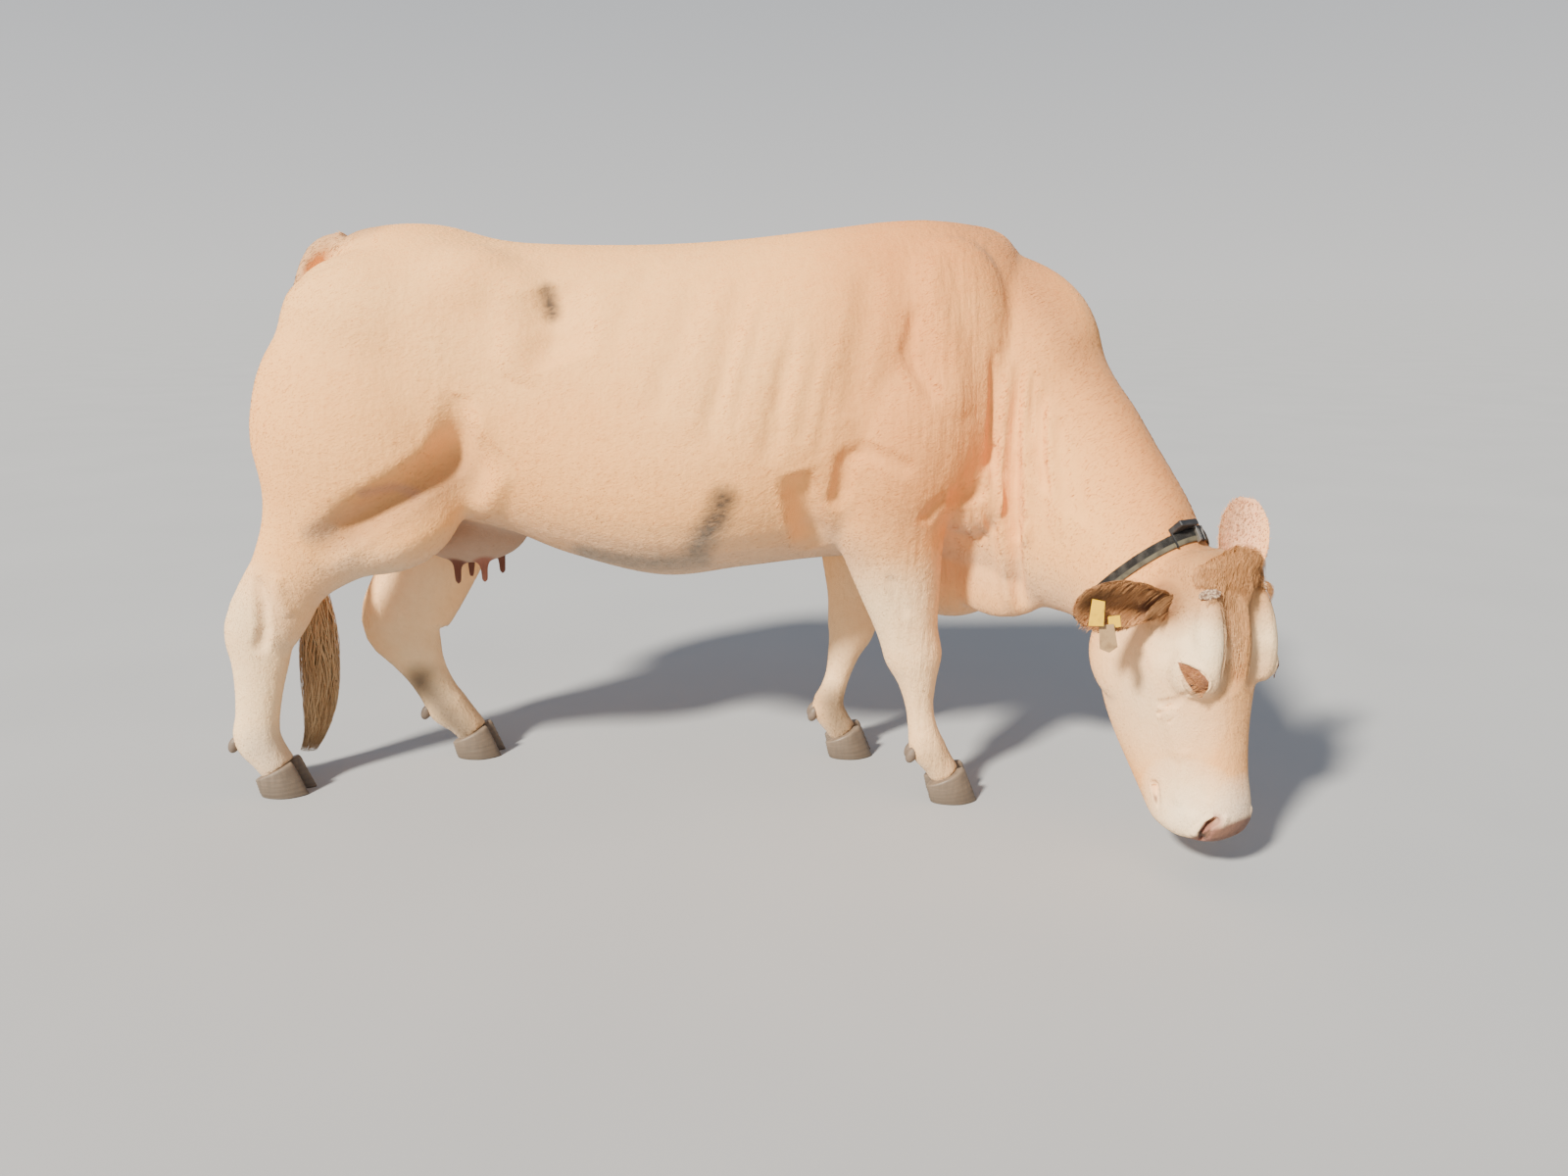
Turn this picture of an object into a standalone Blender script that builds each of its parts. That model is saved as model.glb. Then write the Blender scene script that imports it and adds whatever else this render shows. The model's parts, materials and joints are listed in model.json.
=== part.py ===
"""A Blonde d'Aquitaine cow grazing, life size, as a still model in separate named pieces.

Run with: blender --background --python part.py
Metres, +Z up, +X towards the cow's head, +Y towards its left side. The floor is at z = 0.
"""

import math
import random

import bmesh
import bpy
import numpy as np
from mathutils import Matrix, Vector
from mathutils.bvhtree import BVHTree

# Driving sizes of the cow, in metres
WITHERS = 1.42          # height of the back over the shoulders
LOIN = 1.365            # height of the loin, the lowest part of the back
SACRUM = 1.41           # height of the rump's crest
BELLY = 0.555           # height of the lowest part of the belly
BARREL = 0.365          # half the width of the body at the ribs
HIPS = 0.315            # half the width over the hip bones
FORE_FETLOCK = 0.135    # height of the fetlock of a foreleg
HIND_FETLOCK = 0.145    # height of the fetlock of a hind leg
HEAD_LENGTH = 0.62      # poll to muzzle

# The head's own frame: where the poll is, and which way the face runs, in the body's frame
POLL = Vector((0.953, -0.523, 0.702))
FACE_DOWN = Vector((0.068, -0.153, -0.986)).normalized()
FACE_LEFT = Vector((0.805, 0.592, -0.010))

GAP = 0.0003            # between pieces that meet face to face
VOXEL = 0.010           # grain of the blank that the body is cut from
HEAD_VOXEL = 0.006
RING_SIDES = 36
RING_STEP = 0.025       # distance between a loft's rings
BODY_TRIANGLES = 4700   # of the skin that the torso, neck and upper legs are cut from
LEG_TRIANGLES = 15000   # of the skin that the lower legs are cut from
HEAD_TRIANGLES = 4300
UDDER_TRIANGLES = 480
CLAW_SIDES = 12

SKIN = (0.80, 0.58, 0.40, 1.0)
SWITCH_HAIR = (0.50, 0.30, 0.14, 1.0)
PALE_LEG = (0.80, 0.74, 0.65, 1.0)
HORN = (0.30, 0.24, 0.19, 1.0)
TEAT = (0.52, 0.30, 0.25, 1.0)
EYE = (0.05, 0.03, 0.02, 1.0)
STRAP = (0.05, 0.045, 0.04, 1.0)
TAG = (0.85, 0.65, 0.05, 1.0)
PALE_TAG = (0.72, 0.55, 0.35, 1.0)
BUCKLE = (0.02, 0.02, 0.02, 1.0)

# Torso: x, back height, underline height, half width, widening towards the belly, squareness
TORSO = (
    (-1.155, SACRUM - 0.21, 0.94, 0.06, 0.0, 2.0),
    (-1.115, SACRUM - 0.110, 0.84, 0.14, 0.0, 2.1),
    (-1.045, SACRUM - 0.028, 0.75, 0.230, 0.0, 2.2),
    (-0.95, SACRUM, 0.72, 0.290, -0.02, 2.3),
    (-0.82, SACRUM, 0.70, HIPS, -0.05, 2.3),
    (-0.68, LOIN + 0.010, 0.665, HIPS, 0.0, 2.3),
    (-0.52, LOIN, 0.605, HIPS + 0.020, 0.06, 2.3),
    (-0.30, LOIN, BELLY, BARREL - 0.005, 0.09, 2.3),
    (-0.10, LOIN + 0.012, BELLY + 0.022, BARREL, 0.09, 2.3),
    (0.10, WITHERS - 0.020, BELLY + 0.042, BARREL - 0.025, 0.06, 2.2),
    (0.28, WITHERS, BELLY + 0.040, 0.290, 0.04, 2.1),
    (0.42, WITHERS - 0.005, BELLY + 0.020, 0.245, 0.0, 2.0),
    (0.54, WITHERS - 0.042, BELLY + 0.030, 0.20, 0.0, 2.0),
    (0.62, WITHERS - 0.18, 0.70, 0.13, 0.0, 2.0),
)

# Limbs and neck: x, y, z of the middle, then half size fore and aft, and half size across
NECK = (
    (0.30, 0.000, 1.000, 0.40, 0.20),
    (0.46, -0.020, 0.925, 0.42, 0.205),
    (0.58, -0.090, 0.832, 0.350, 0.172),
    (0.684, -0.190, 0.754, 0.286, 0.145),
    (0.767, -0.286, 0.681, 0.224, 0.128),
    (0.826, -0.362, 0.610, 0.180, 0.120),
    (0.877, -0.427, 0.556, 0.138, 0.108),
)
HIND_RIGHT = (
    (-0.95, -0.150, 1.150, 0.205, 0.145),
    (-0.975, -0.185, 1.020, 0.256, 0.155),
    (-0.990, -0.195, 0.880, 0.272, 0.150),
    (-1.052, -0.188, 0.770, 0.250, 0.122),
    (-1.130, -0.170, 0.675, 0.152, 0.092),
    (-1.207, -0.155, 0.580, 0.102, 0.072),
    (-1.266, -0.145, 0.490, 0.098, 0.060),
    (-1.309, -0.135, 0.420, 0.092, 0.052),
    (-1.318, -0.130, 0.350, 0.076, 0.047),
    (-1.328, -0.130, 0.280, 0.064, 0.042),
    (-1.340, -0.130, 0.200, 0.058, 0.042),
    (-1.347, -0.130, HIND_FETLOCK, 0.062, 0.050),
    (-1.320, -0.130, 0.095, 0.050, 0.050),
    (-1.298, -0.130, 0.060, 0.047, 0.050),
)
HIND_LEFT = (
    (-0.95, 0.150, 1.150, 0.21, 0.145),
    (-0.965, 0.185, 1.020, 0.255, 0.155),
    (-0.955, 0.195, 0.880, 0.264, 0.150),
    (-0.930, 0.190, 0.760, 0.230, 0.125),
    (-0.922, 0.175, 0.660, 0.162, 0.100),
    (-0.945, 0.160, 0.560, 0.130, 0.078),
    (-0.999, 0.145, 0.460, 0.126, 0.060),
    (-1.040, 0.135, 0.375, 0.116, 0.052),
    (-1.012, 0.130, 0.300, 0.084, 0.047),
    (-0.985, 0.130, 0.240, 0.062, 0.042),
    (-0.955, 0.130, 0.180, 0.056, 0.042),
    (-0.930, 0.130, 0.135, 0.060, 0.050),
    (-0.890, 0.130, 0.095, 0.047, 0.050),
    (-0.865, 0.130, 0.060, 0.045, 0.050),
)
FORE_RIGHT = (
    (0.30, -0.150, 1.120, 0.15, 0.095),
    (0.29, -0.205, 0.980, 0.185, 0.125),
    (0.26, -0.215, 0.850, 0.180, 0.120),
    (0.250, -0.205, 0.740, 0.146, 0.098),
    (0.265, -0.190, 0.640, 0.122, 0.082),
    (0.285, -0.178, 0.540, 0.100, 0.070),
    (0.305, -0.170, 0.440, 0.078, 0.061),
    (0.322, -0.165, 0.370, 0.074, 0.061),
    (0.332, -0.165, 0.310, 0.052, 0.048),
    (0.340, -0.165, 0.240, 0.038, 0.036),
    (0.350, -0.165, 0.180, 0.041, 0.038),
    (0.362, -0.165, FORE_FETLOCK, 0.049, 0.047),
    (0.390, -0.165, 0.092, 0.042, 0.047),
    (0.410, -0.165, 0.060, 0.042, 0.048),
)
FORE_LEFT = (
    (0.30, 0.150, 1.120, 0.15, 0.095),
    (0.29, 0.205, 0.980, 0.185, 0.125),
    (0.25, 0.215, 0.850, 0.180, 0.120),
    (0.220, 0.205, 0.740, 0.146, 0.098),
    (0.205, 0.190, 0.640, 0.122, 0.082),
    (0.198, 0.170, 0.540, 0.098, 0.070),
    (0.192, 0.155, 0.440, 0.076, 0.061),
    (0.184, 0.145, 0.355, 0.068, 0.059),
    (0.165, 0.135, 0.295, 0.048, 0.047),
    (0.147, 0.130, 0.225, 0.037, 0.036),
    (0.132, 0.130, 0.175, 0.040, 0.038),
    (0.120, 0.130, FORE_FETLOCK, 0.048, 0.047),
    (0.145, 0.130, 0.092, 0.042, 0.047),
    (0.165, 0.130, 0.060, 0.042, 0.048),
)

# Head: distance down the face, forehead side, jaw side, half width, widening to the forehead
HEAD = (
    (-0.020, -0.045, -0.120, 0.055, 0.0),
    (0.005, -0.006, -0.180, 0.100, 0.0),
    (0.070, 0.020, -0.240, 0.124, 0.04),
    (0.150, 0.028, -0.300, 0.136, 0.12),
    (0.230, 0.022, -0.340, 0.138, 0.20),
    (0.310, 0.012, -0.342, 0.120, 0.14),
    (0.390, 0.006, -0.320, 0.102, 0.08),
    (0.470, 0.004, -0.281, 0.092, 0.04),
    (0.535, 0.006, -0.241, 0.096, 0.02),
    (0.580, 0.000, -0.210, 0.098, 0.0),
    (0.608, -0.016, -0.165, 0.082, 0.0),
    (HEAD_LENGTH + 0.004, -0.045, -0.125, 0.045, 0.0),
)

# Creases and ridges of the face, in the head's frame and on both sides: points, reach, height
FACE_MARKS = (
    (((0.612, 0.0, -0.118), (0.600, 0.045, -0.126), (0.565, 0.078, -0.140), (0.500, 0.090, -0.158)),
     0.016, -0.010),
    (((0.280, 0.135, -0.030), (0.300, 0.125, -0.070), (0.306, 0.118, -0.105)), 0.018, -0.006),
    (((0.330, 0.112, -0.095), (0.410, 0.098, -0.090)), 0.035, 0.005),
    (((0.110, 0.040, 0.030), (0.180, 0.048, 0.026), (0.255, 0.045, 0.022)), 0.045, -0.012),
    (((0.135, 0.140, -0.070), (0.180, 0.140, -0.085)), 0.050, -0.008),
    (((0.560, 0.088, -0.062), (0.590, 0.080, -0.075)), 0.026, 0.005),
)

# Hollows and ridges of the body, seen from its side: sides, path in x and z, reach, height
BOTH, NEAR, FAR = (-1, 1), (-1,), (1,)
BODY_MARKS = (
    (BOTH, ((-1.150, 1.270), (-1.060, 1.322), (-0.990, 1.350), (-0.930, 1.385)), 0.045, -0.014),
    (BOTH, ((-0.540, 1.260), (-0.515, 1.170), (-0.490, 1.095)), 0.120, -0.026),
    (BOTH, ((-0.606, 1.320), (-0.590, 1.240), (-0.575, 1.165), (-0.610, 1.060)), 0.070, 0.012),
    (BOTH, ((0.190, 1.310), (0.184, 1.208), (0.159, 1.084), (0.143, 0.976)), 0.050, -0.008),
    (BOTH, ((0.316, 1.350), (0.339, 1.216), (0.379, 1.083), (0.402, 0.974)), 0.060, 0.012),
    (BOTH, ((0.303, 1.225), (0.291, 1.172), (0.278, 1.120), (0.306, 1.066), (0.344, 1.012)), 0.028, -0.009),
    (BOTH, ((0.162, 0.912), (0.139, 0.875), (0.131, 0.810), (0.108, 0.763)), 0.034, -0.012),
    (BOTH, ((0.155, 0.915), (0.236, 0.885), (0.292, 0.857)), 0.030, -0.007),
    (BOTH, ((0.030, 0.860), (0.050, 0.780), (0.062, 0.715), (0.080, 0.655)), 0.060, -0.030),
    (BOTH, ((0.376, 0.795), (0.433, 0.792), (0.475, 0.815)), 0.036, -0.016),
    (BOTH, ((0.381, 0.800), (0.345, 0.767), (0.318, 0.729)), 0.026, -0.009),
    (NEAR, ((-0.735, 0.96), (-0.77, 0.87), (-0.87, 0.80), (-0.99, 0.73), (-1.09, 0.668)), 0.060, -0.024),
    (NEAR, ((-0.700, 0.850), (-0.790, 0.800), (-0.860, 0.770)), 0.070, -0.020),
    (NEAR, ((-0.700, 0.920), (-0.668, 0.842), (-0.700, 0.785), (-0.745, 0.745)), 0.032, 0.012),
    (FAR, ((-0.70, 0.95), (-0.74, 0.86), (-0.83, 0.79), (-0.92, 0.72), (-1.00, 0.64)), 0.060, -0.024),
    (NEAR, ((-1.272, 0.590), (-1.262, 0.520), (-1.272, 0.450), (-1.298, 0.380)), 0.026, -0.013),
    (NEAR, ((-1.210, 0.600), (-1.215, 0.540), (-1.200, 0.480)), 0.024, 0.005),
    (FAR, ((-0.985, 0.560), (-0.985, 0.480), (-1.000, 0.400), (-1.005, 0.330)), 0.026, -0.012),
    (NEAR, ((0.248, 0.603), (0.269, 0.543), (0.300, 0.492)), 0.020, -0.005),
    (NEAR, ((0.477, 1.126), (0.478, 1.006), (0.478, 0.894), (0.471, 0.837)), 0.016, -0.009),
    (NEAR, ((0.538, 1.097), (0.530, 0.967), (0.526, 0.853), (0.527, 0.737), (0.543, 0.598)), 0.018, -0.014),
    (NEAR, ((0.505, 0.930), (0.502, 0.840), (0.508, 0.740)), 0.016, 0.009),
    (NEAR, ((0.584, 1.034), (0.582, 0.894), (0.596, 0.799)), 0.018, -0.010),
    (NEAR, ((0.558, 0.940), (0.560, 0.799), (0.565, 0.672)), 0.016, 0.009),
    (NEAR, ((0.540, 0.668), (0.552, 0.560), (0.565, 0.487)), 0.020, 0.012),
    (BOTH, ((-0.073, 1.300), (-0.128, 1.148), (-0.147, 1.025), (-0.167, 0.908)), 0.045, -0.006),
    (BOTH, ((-0.187, 1.277), (-0.234, 1.131), (-0.292, 0.981)), 0.045, -0.005),
    (BOTH, ((-0.282, 1.320), (-0.337, 1.234), (-0.390, 1.100)), 0.045, -0.004),
    (BOTH, ((0.014, 1.131), (-0.013, 0.998), (-0.040, 0.872)), 0.040, -0.006),
)

# Ear: distance along it, half width, depth of its cup
EAR = (
    (0.000, 0.030, 0.026),
    (0.035, 0.042, 0.032),
    (0.080, 0.058, 0.030),
    (0.125, 0.064, 0.024),
    (0.165, 0.058, 0.016),
    (0.195, 0.042, 0.009),
    (0.215, 0.020, 0.004),
)
EAR_THICKNESS = 0.009
HEAD_PARTS = ("head", "neck", "brow", "orbit", "cheek", "lip", "ear_root", "chin", "lid")
SIDES = (("right", -1), ("left", 1))
# Each ear: its base, which way it points, which way its hollow faces, its length
EAR_PLACES = {
    "right": ((0.800, -0.552, 0.613), (-0.225, -0.100, 0.020), (0.10, -0.92, -0.25), 0.228),
    "left": ((1.010, -0.398, 0.600), (0.040, 0.070, 0.215), (0.10, -0.95, 0.30), 0.217),
}
EYE_PLACE = (0.244, 0.127, -0.015)
EYE_RADIUS = 0.026
# Lids: arcs over the eye ball from corner to corner, as directions in the head's frame
LIDS = (
    ((-0.71, 0.56, -0.41), (-0.60, 0.60, 0.53), (-0.11, 0.39, 0.92), (0.85, 0.18, 0.50)),
    ((-0.71, 0.56, -0.41), (-0.07, 0.99, -0.15), (0.53, 0.83, 0.16), (0.85, 0.18, 0.50)),
)
LID_THICKNESS = 0.006
NOSTRIL_PLACE = (0.567, 0.076, -0.040)
NOSTRIL_SIZES = (0.026, 0.009, 0.016)
HORN_PLACE = (0.046, 0.108, 0.008)
HORN_SIZES = (0.022, 0.018, 0.014)
STRAP_WIDTH = 0.028
STRAP_THICKNESS = 0.006
STRAP_PLACE = -0.052     # its near edge, measured forward from the cut behind the poll
CLASP_SIZES = (0.060, 0.038, 0.014)
CLASP_SIDEWAYS = -0.080
TAG_THICKNESS = 0.003
TAG_ALONG = (1, 0, 0.1)
TAG_FACING = (0.1, -0.9, 0.25)
TAGS = (
    ("ear_tag_flag", ((-0.018, -0.026), (0.014, -0.030), (0.022, 0.020), (-0.004, 0.028)),
     (0.636, -0.640, 0.616)),
    ("ear_tag_button", ((-0.013, -0.012), (0.013, -0.012), (0.013, 0.012), (-0.013, 0.012)),
     (0.680, -0.625, 0.592)),
    ("ear_tag_pendant", ((-0.019, -0.022), (0.0, -0.032), (0.019, -0.022), (0.016, 0.026), (-0.016, 0.026)),
     (0.664, -0.640, 0.563)),
)
# Material of each piece, by the first of these words in its name
LOOKS = (
    ("claw", "horn"),
    ("bud", "horn"),
    ("eye", "eye"),
    ("lower_leg", "pale_hair"),
    ("switch", "switch_hair"),
    ("udder", "teat"),
    ("buckle", "buckle"),
    ("collar", "strap"),
    ("pendant", "pale_tag"),
    ("tag", "tag"),
)
UDDER_CENTRE = (-0.800, 0.0, 0.665)
UDDER_SIZES = (0.150, 0.110, 0.090)
# Teats: x, y and the height of the tip
TEATS = ((-0.829, -0.045, 0.522), (-0.818, 0.045, 0.518), (-0.760, -0.050, 0.527), (-0.738, 0.050, 0.526))

# Tail: middle of each station, then half size fore and aft, and across
DOCK = (
    (-1.050, 0.0, 1.368, 0.030, 0.040),
    (-1.120, 0.0, 1.336, 0.036, 0.040),
    (-1.172, 0.0, 1.240, 0.030, 0.032),
    (-1.205, 0.0, 1.100, 0.022, 0.024),
    (-1.225, 0.0, 0.900, 0.018, 0.020),
    (-1.230, 0.0, 0.700, 0.016, 0.018),
    (-1.215, 0.0, 0.560, 0.018, 0.018),
)
BRUSH_TOP = 0.570       # height of the cut between the dock and the brush
SWITCH = (
    (-1.217, 0.0, 0.580, 0.018, 0.020),
    (-1.212, 0.0, 0.500, 0.022, 0.022),
    (-1.216, 0.0, 0.400, 0.030, 0.026),
    (-1.222, 0.0, 0.300, 0.032, 0.026),
    (-1.232, 0.0, 0.200, 0.026, 0.022),
    (-1.250, 0.0, 0.120, 0.014, 0.014),
    (-1.275, 0.0, 0.070, 0.004, 0.004),
)

# Where each leg is cut: side, x range, height of its top, height of the middle cut, pastern's foot
LEGS = (
    ("near_hind", -1, (-1.60, -0.70), 0.735, 0.365, HIND_RIGHT),
    ("far_hind", 1, (-1.60, -0.70), 0.735, 0.300, HIND_LEFT),
    ("near_fore", -1, (0.06, 0.43), 0.655, 0.315, FORE_RIGHT),
    ("far_fore", 1, (0.06, 0.43), 0.655, 0.300, FORE_LEFT),
)
LEG_INSIDE = 0.045      # the leg cuts' distance from the middle
CORONET_FRONT = 0.085   # height of the top of a hoof at its front
CORONET_HEEL = 0.048
CLAW_LENGTH = 0.118
CLAW_WIDTH = 0.056
# Levels of a claw: height, how far it stands ahead of the coronet, its share of the full size
CLAW_LEVELS = ((0, 0.020, 1.0), (0.010, 0.016, 1.0), (0.055, 0.002, 0.93), (0.10, -0.012, 0.86))
TOE_SPLIT = 0.006       # between the two claws of a foot

# Locks of long hair: how many, their length, width and thickness
SWITCH_LOCKS = (14, 0.21, 0.034, 0.010)
POLL_LOCKS = (8, 0.085, 0.040, 0.013)
FACE_LOCKS = (3, 0.150, 0.028, 0.009)
EAR_LOCKS = (5, 0.060, 0.026, 0.005)


def clear_scene():
    for old in list(bpy.data.objects):
        bpy.data.objects.remove(old, do_unlink=True)


def new_collection(name):
    made = bpy.data.collections.new(name)
    bpy.context.scene.collection.children.link(made)
    return made


def material(name, colour, roughness=0.8):
    """A plain material for the pieces that share it."""
    made = bpy.data.materials.new(name)
    made.use_nodes = True
    shader = made.node_tree.nodes["Principled BSDF"]
    shader.inputs["Base Color"].default_value = colour
    shader.inputs["Roughness"].default_value = roughness
    return made


def new_object(name, mesh, collection):
    made = bpy.data.objects.new(name, mesh)
    collection.objects.link(made)
    return made


def smooth_path(stations, step=RING_STEP):
    """Stations of a loft, filled in on a smooth curve so that its rings are a step apart."""
    rows = np.array(stations, float)
    ends = np.vstack([2 * rows[0] - rows[1], rows, 2 * rows[-1] - rows[-2]])
    filled = []
    for i in range(len(rows) - 1):
        before, start, end, after = ends[i : i + 4]
        steps = max(1, math.ceil(np.linalg.norm((end - start)[:3]) / step))
        for t in np.arange(steps) / steps:
            filled.append(
                0.5 * (2 * start + (end - before) * t
                       + (2 * before - 5 * start + 4 * end - after) * t ** 2
                       + (3 * start - before - 3 * end + after) * t ** 3)
            )
    filled.append(rows[-1])
    return np.array(filled)


def loft(name, rings, collection):
    """A closed skin over rings, each a list of the same number of points."""
    bm = bmesh.new()
    rows = [[bm.verts.new(point) for point in ring] for ring in rings]
    for lower, upper in zip(rows, rows[1:]):
        for i in range(len(lower)):
            j = (i + 1) % len(lower)
            bm.faces.new((lower[i], lower[j], upper[j], upper[i]))
    bm.faces.new(rows[0][::-1])
    bm.faces.new(rows[-1])
    bmesh.ops.recalc_face_normals(bm, faces=bm.faces)
    mesh = bpy.data.meshes.new(name)
    bm.to_mesh(mesh)
    bm.free()
    return new_object(name, mesh, collection)


def section(centre, out, side, depth, width, lean=0.0, square=2.0, sides=RING_SIDES):
    """A ring of a loft: depth is its half size along out, width along side.
    lean widens it towards out, and square is 2 for an ellipse, more for a boxier ring."""
    ring = []
    for k in range(sides):
        turn = 2 * math.pi * k / sides
        up = math.copysign(abs(math.cos(turn)) ** (2 / square), math.cos(turn))
        across = math.copysign(abs(math.sin(turn)) ** (2 / square), math.sin(turn))
        ring.append(centre + out * (depth * up) + side * (width * across * (1 + lean * up)))
    return ring


def tube(name, stations, collection, across=None, sides=RING_SIDES, step=RING_STEP):
    """A loft along a path whose rings stand square to it. across is the sideways direction."""
    rows = smooth_path(stations, step)
    middles = [Vector(row[:3]) for row in rows]
    rings = []
    for i, row in enumerate(rows):
        along = (middles[min(i + 1, len(rows) - 1)] - middles[max(i - 1, 0)]).normalized()
        side = Vector((0, 0, 1)).cross(along) if across is None else across
        side = (side - along * side.dot(along)).normalized()
        rings.append(section(middles[i], along.cross(side), side, row[3], row[4], sides=sides))
    return loft(name, rings, collection)


def torso(collection):
    stations = [(x, 0, (top + low) / 2, (top - low) / 2, wide, -belly, square)
                for x, top, low, wide, belly, square in TORSO]
    rings = [section(Vector(row[:3]), Vector((0, 0, 1)), Vector((0, 1, 0)), *row[3:])
             for row in smooth_path(stations)]
    return loft("torso_form", rings, collection)


def head_frame():
    """Matrix from the head's frame (down the face, to its left, out of the forehead) to the body's."""
    left = (FACE_LEFT - FACE_DOWN * FACE_LEFT.dot(FACE_DOWN)).normalized()
    out = FACE_DOWN.cross(left)
    frame = Matrix((FACE_DOWN, left, out)).transposed().to_4x4()
    frame.translation = POLL
    return frame


def head_form(collection):
    stations = [(down, 0, (front + back) / 2, (front - back) / 2, wide, lean)
                for down, front, back, wide, lean in HEAD]
    rings = [section(Vector(row[:3]), Vector((0, 0, 1)), Vector((0, 1, 0)), row[3], row[4], row[5], 2.3)
             for row in smooth_path(stations)]
    made = loft("head_form", rings, collection)
    made.data.transform(head_frame())
    return made


def ball(name, centre, radius, collection, segments=14, rings=9):
    bm = bmesh.new()
    bmesh.ops.create_uvsphere(bm, u_segments=segments, v_segments=rings, radius=radius)
    mesh = bpy.data.meshes.new(name)
    bm.to_mesh(mesh)
    bm.free()
    mesh.transform(Matrix.Translation(centre))
    return new_object(name, mesh, collection)


def mass(name, centre, sizes, collection, turn=(0, 0, 0), frame=None, segments=24):
    """An ellipsoid of flesh or bone: sizes are its half sizes, turn its angles in degrees."""
    made = ball(name, (0, 0, 0), 1, collection, segments, segments * 2 // 3)
    place = Matrix.Translation(centre)
    for axis, angle in zip("XYZ", turn):
        place = place @ Matrix.Rotation(math.radians(angle), 4, axis)
    made.data.transform((frame or Matrix.Identity(4)) @ place @ Matrix.Diagonal((*sizes, 1)))
    return made


def body_forms(collection):
    """Every mass that makes up the body, overlapping its neighbours."""
    torso(collection)
    tube("neck_form", NECK, collection)
    sideways = Vector((0, 1, 0))
    for name, stations in (("hind_right", HIND_RIGHT), ("hind_left", HIND_LEFT),
                           ("fore_right", FORE_RIGHT), ("fore_left", FORE_LEFT)):
        tube(name + "_form", stations, collection, sideways)
    for side in (-1, 1):
        mass("shoulder_form", (0.33, side * 0.175, 1.03), (0.20, 0.115, 0.36), collection, (side * 9, 12, 0))
        mass("point_form", (0.455, side * 0.17, 0.80), (0.10, 0.085, 0.12), collection)
        mass("hip_form", (-0.73, side * 0.163, 1.235), (0.18, 0.122, 0.125), collection, (side * 20, 0, 0))
        mass("rump_form", (-0.94, side * 0.170, 1.15), (0.23, 0.150, 0.20), collection, (0, 8, 0))
        mass("pin_form", (-1.103, side * 0.100, 1.20), (0.085, 0.070, 0.095), collection)
    mass("brisket_form", (0.43, 0.0, 0.58), (0.17, 0.100, 0.15), collection, (0, 8, 0))
    mass("dewlap_form", (0.53, -0.12, 0.585), (0.16, 0.05, 0.125), collection, (0, 0, -35))
    head_form(collection)
    for side in (-1, 1):
        face = head_frame()
        mass("brow_form", (0.168, side * 0.096, -0.002), (0.112, 0.037, 0.036), collection, (0, 0, side * 7), face)
        mass("brow_form", (0.234, side * 0.100, -0.008), (0.050, 0.036, 0.034), collection, frame=face)
        mass("orbit_form", (0.225, side * 0.108, -0.040), (0.066, 0.042, 0.056), collection, frame=face)
        mass("cheek_form", (0.215, side * 0.078, -0.225), (0.120, 0.050, 0.105), collection, frame=face)
        mass("lip_form", (0.560, side * 0.052, -0.085), (0.055, 0.045, 0.062), collection, frame=face)
        for arc in LIDS:
            tube("lid_form", lid_path(arc, side), collection, None, 8)
        mass("ear_root_form", (0.085, side * 0.118, -0.085), (0.048, 0.035, 0.042), collection, frame=face)
    mass("chin_form", (0.575, 0.0, -0.150), (0.045, 0.052, 0.042), collection, frame=head_frame())


def lid_path(arc, side):
    """Stations of a lid along the eye ball's front, in the body's frame."""
    face = head_frame()
    stations = []
    for direction in arc:
        spot = mirrored_spot(Vector(EYE_PLACE) + Vector(direction).normalized() * EYE_RADIUS, side)
        stations.append((*(face @ spot), LID_THICKNESS, LID_THICKNESS))
    return stations


def applied(thing, name, collection):
    """The object as its modifiers make it, as a plain mesh under another name."""
    bpy.context.view_layer.update()
    evaluated = thing.evaluated_get(bpy.context.evaluated_depsgraph_get())
    mesh = bpy.data.meshes.new_from_object(evaluated)
    mesh.name = name
    return new_object(name, mesh, collection)


def fused(name, things, voxel, rounds, collection):
    """One closed skin round all of the things, made of cells of the voxel's size and smoothed."""
    bm = bmesh.new()
    for thing in things:
        bm.from_mesh(thing.data)
    mesh = bpy.data.meshes.new(name + "_parts")
    bm.to_mesh(mesh)
    bm.free()
    heap = new_object(name + "_parts", mesh, collection)
    grain = heap.modifiers.new("grain", "REMESH")
    grain.mode = "VOXEL"
    grain.voxel_size = voxel
    calm = heap.modifiers.new("calm", "SMOOTH")
    calm.factor = 0.5
    calm.iterations = rounds
    made = applied(heap, name, collection)
    bpy.data.objects.remove(heap, do_unlink=True)
    return made


def distance_to(points, path):
    """Distance of each point from a path of one point or more."""
    best = np.full(len(points), 1e9)
    path = np.array(path, float)
    if len(path) == 1:
        return np.linalg.norm(points - path[0], axis=1)
    for start, end in zip(path, path[1:]):
        along = end - start
        share = np.clip((points - start) @ along / (along @ along), 0, 1)
        best = np.minimum(best, np.linalg.norm(points - start - share[:, None] * along, axis=1))
    return best


def lifted(thing, lift_of):
    """Moves the skin along its normals by what lift_of says for each point and normal."""
    mesh = thing.data
    spots = np.empty(len(mesh.vertices) * 3)
    normals = np.empty(len(mesh.vertices) * 3)
    mesh.vertices.foreach_get("co", spots)
    mesh.vertices.foreach_get("normal", normals)
    spots = spots.reshape(-1, 3)
    normals = normals.reshape(-1, 3)
    spots = spots + normals * lift_of(spots, normals)[:, None]
    mesh.vertices.foreach_set("co", spots.ravel())
    mesh.update()


def nearness(points, path, reach):
    """1 on the path, falling smoothly to 0 at its reach."""
    return np.clip(1 - (distance_to(points, path) / reach) ** 2, 0, 1) ** 2


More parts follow.
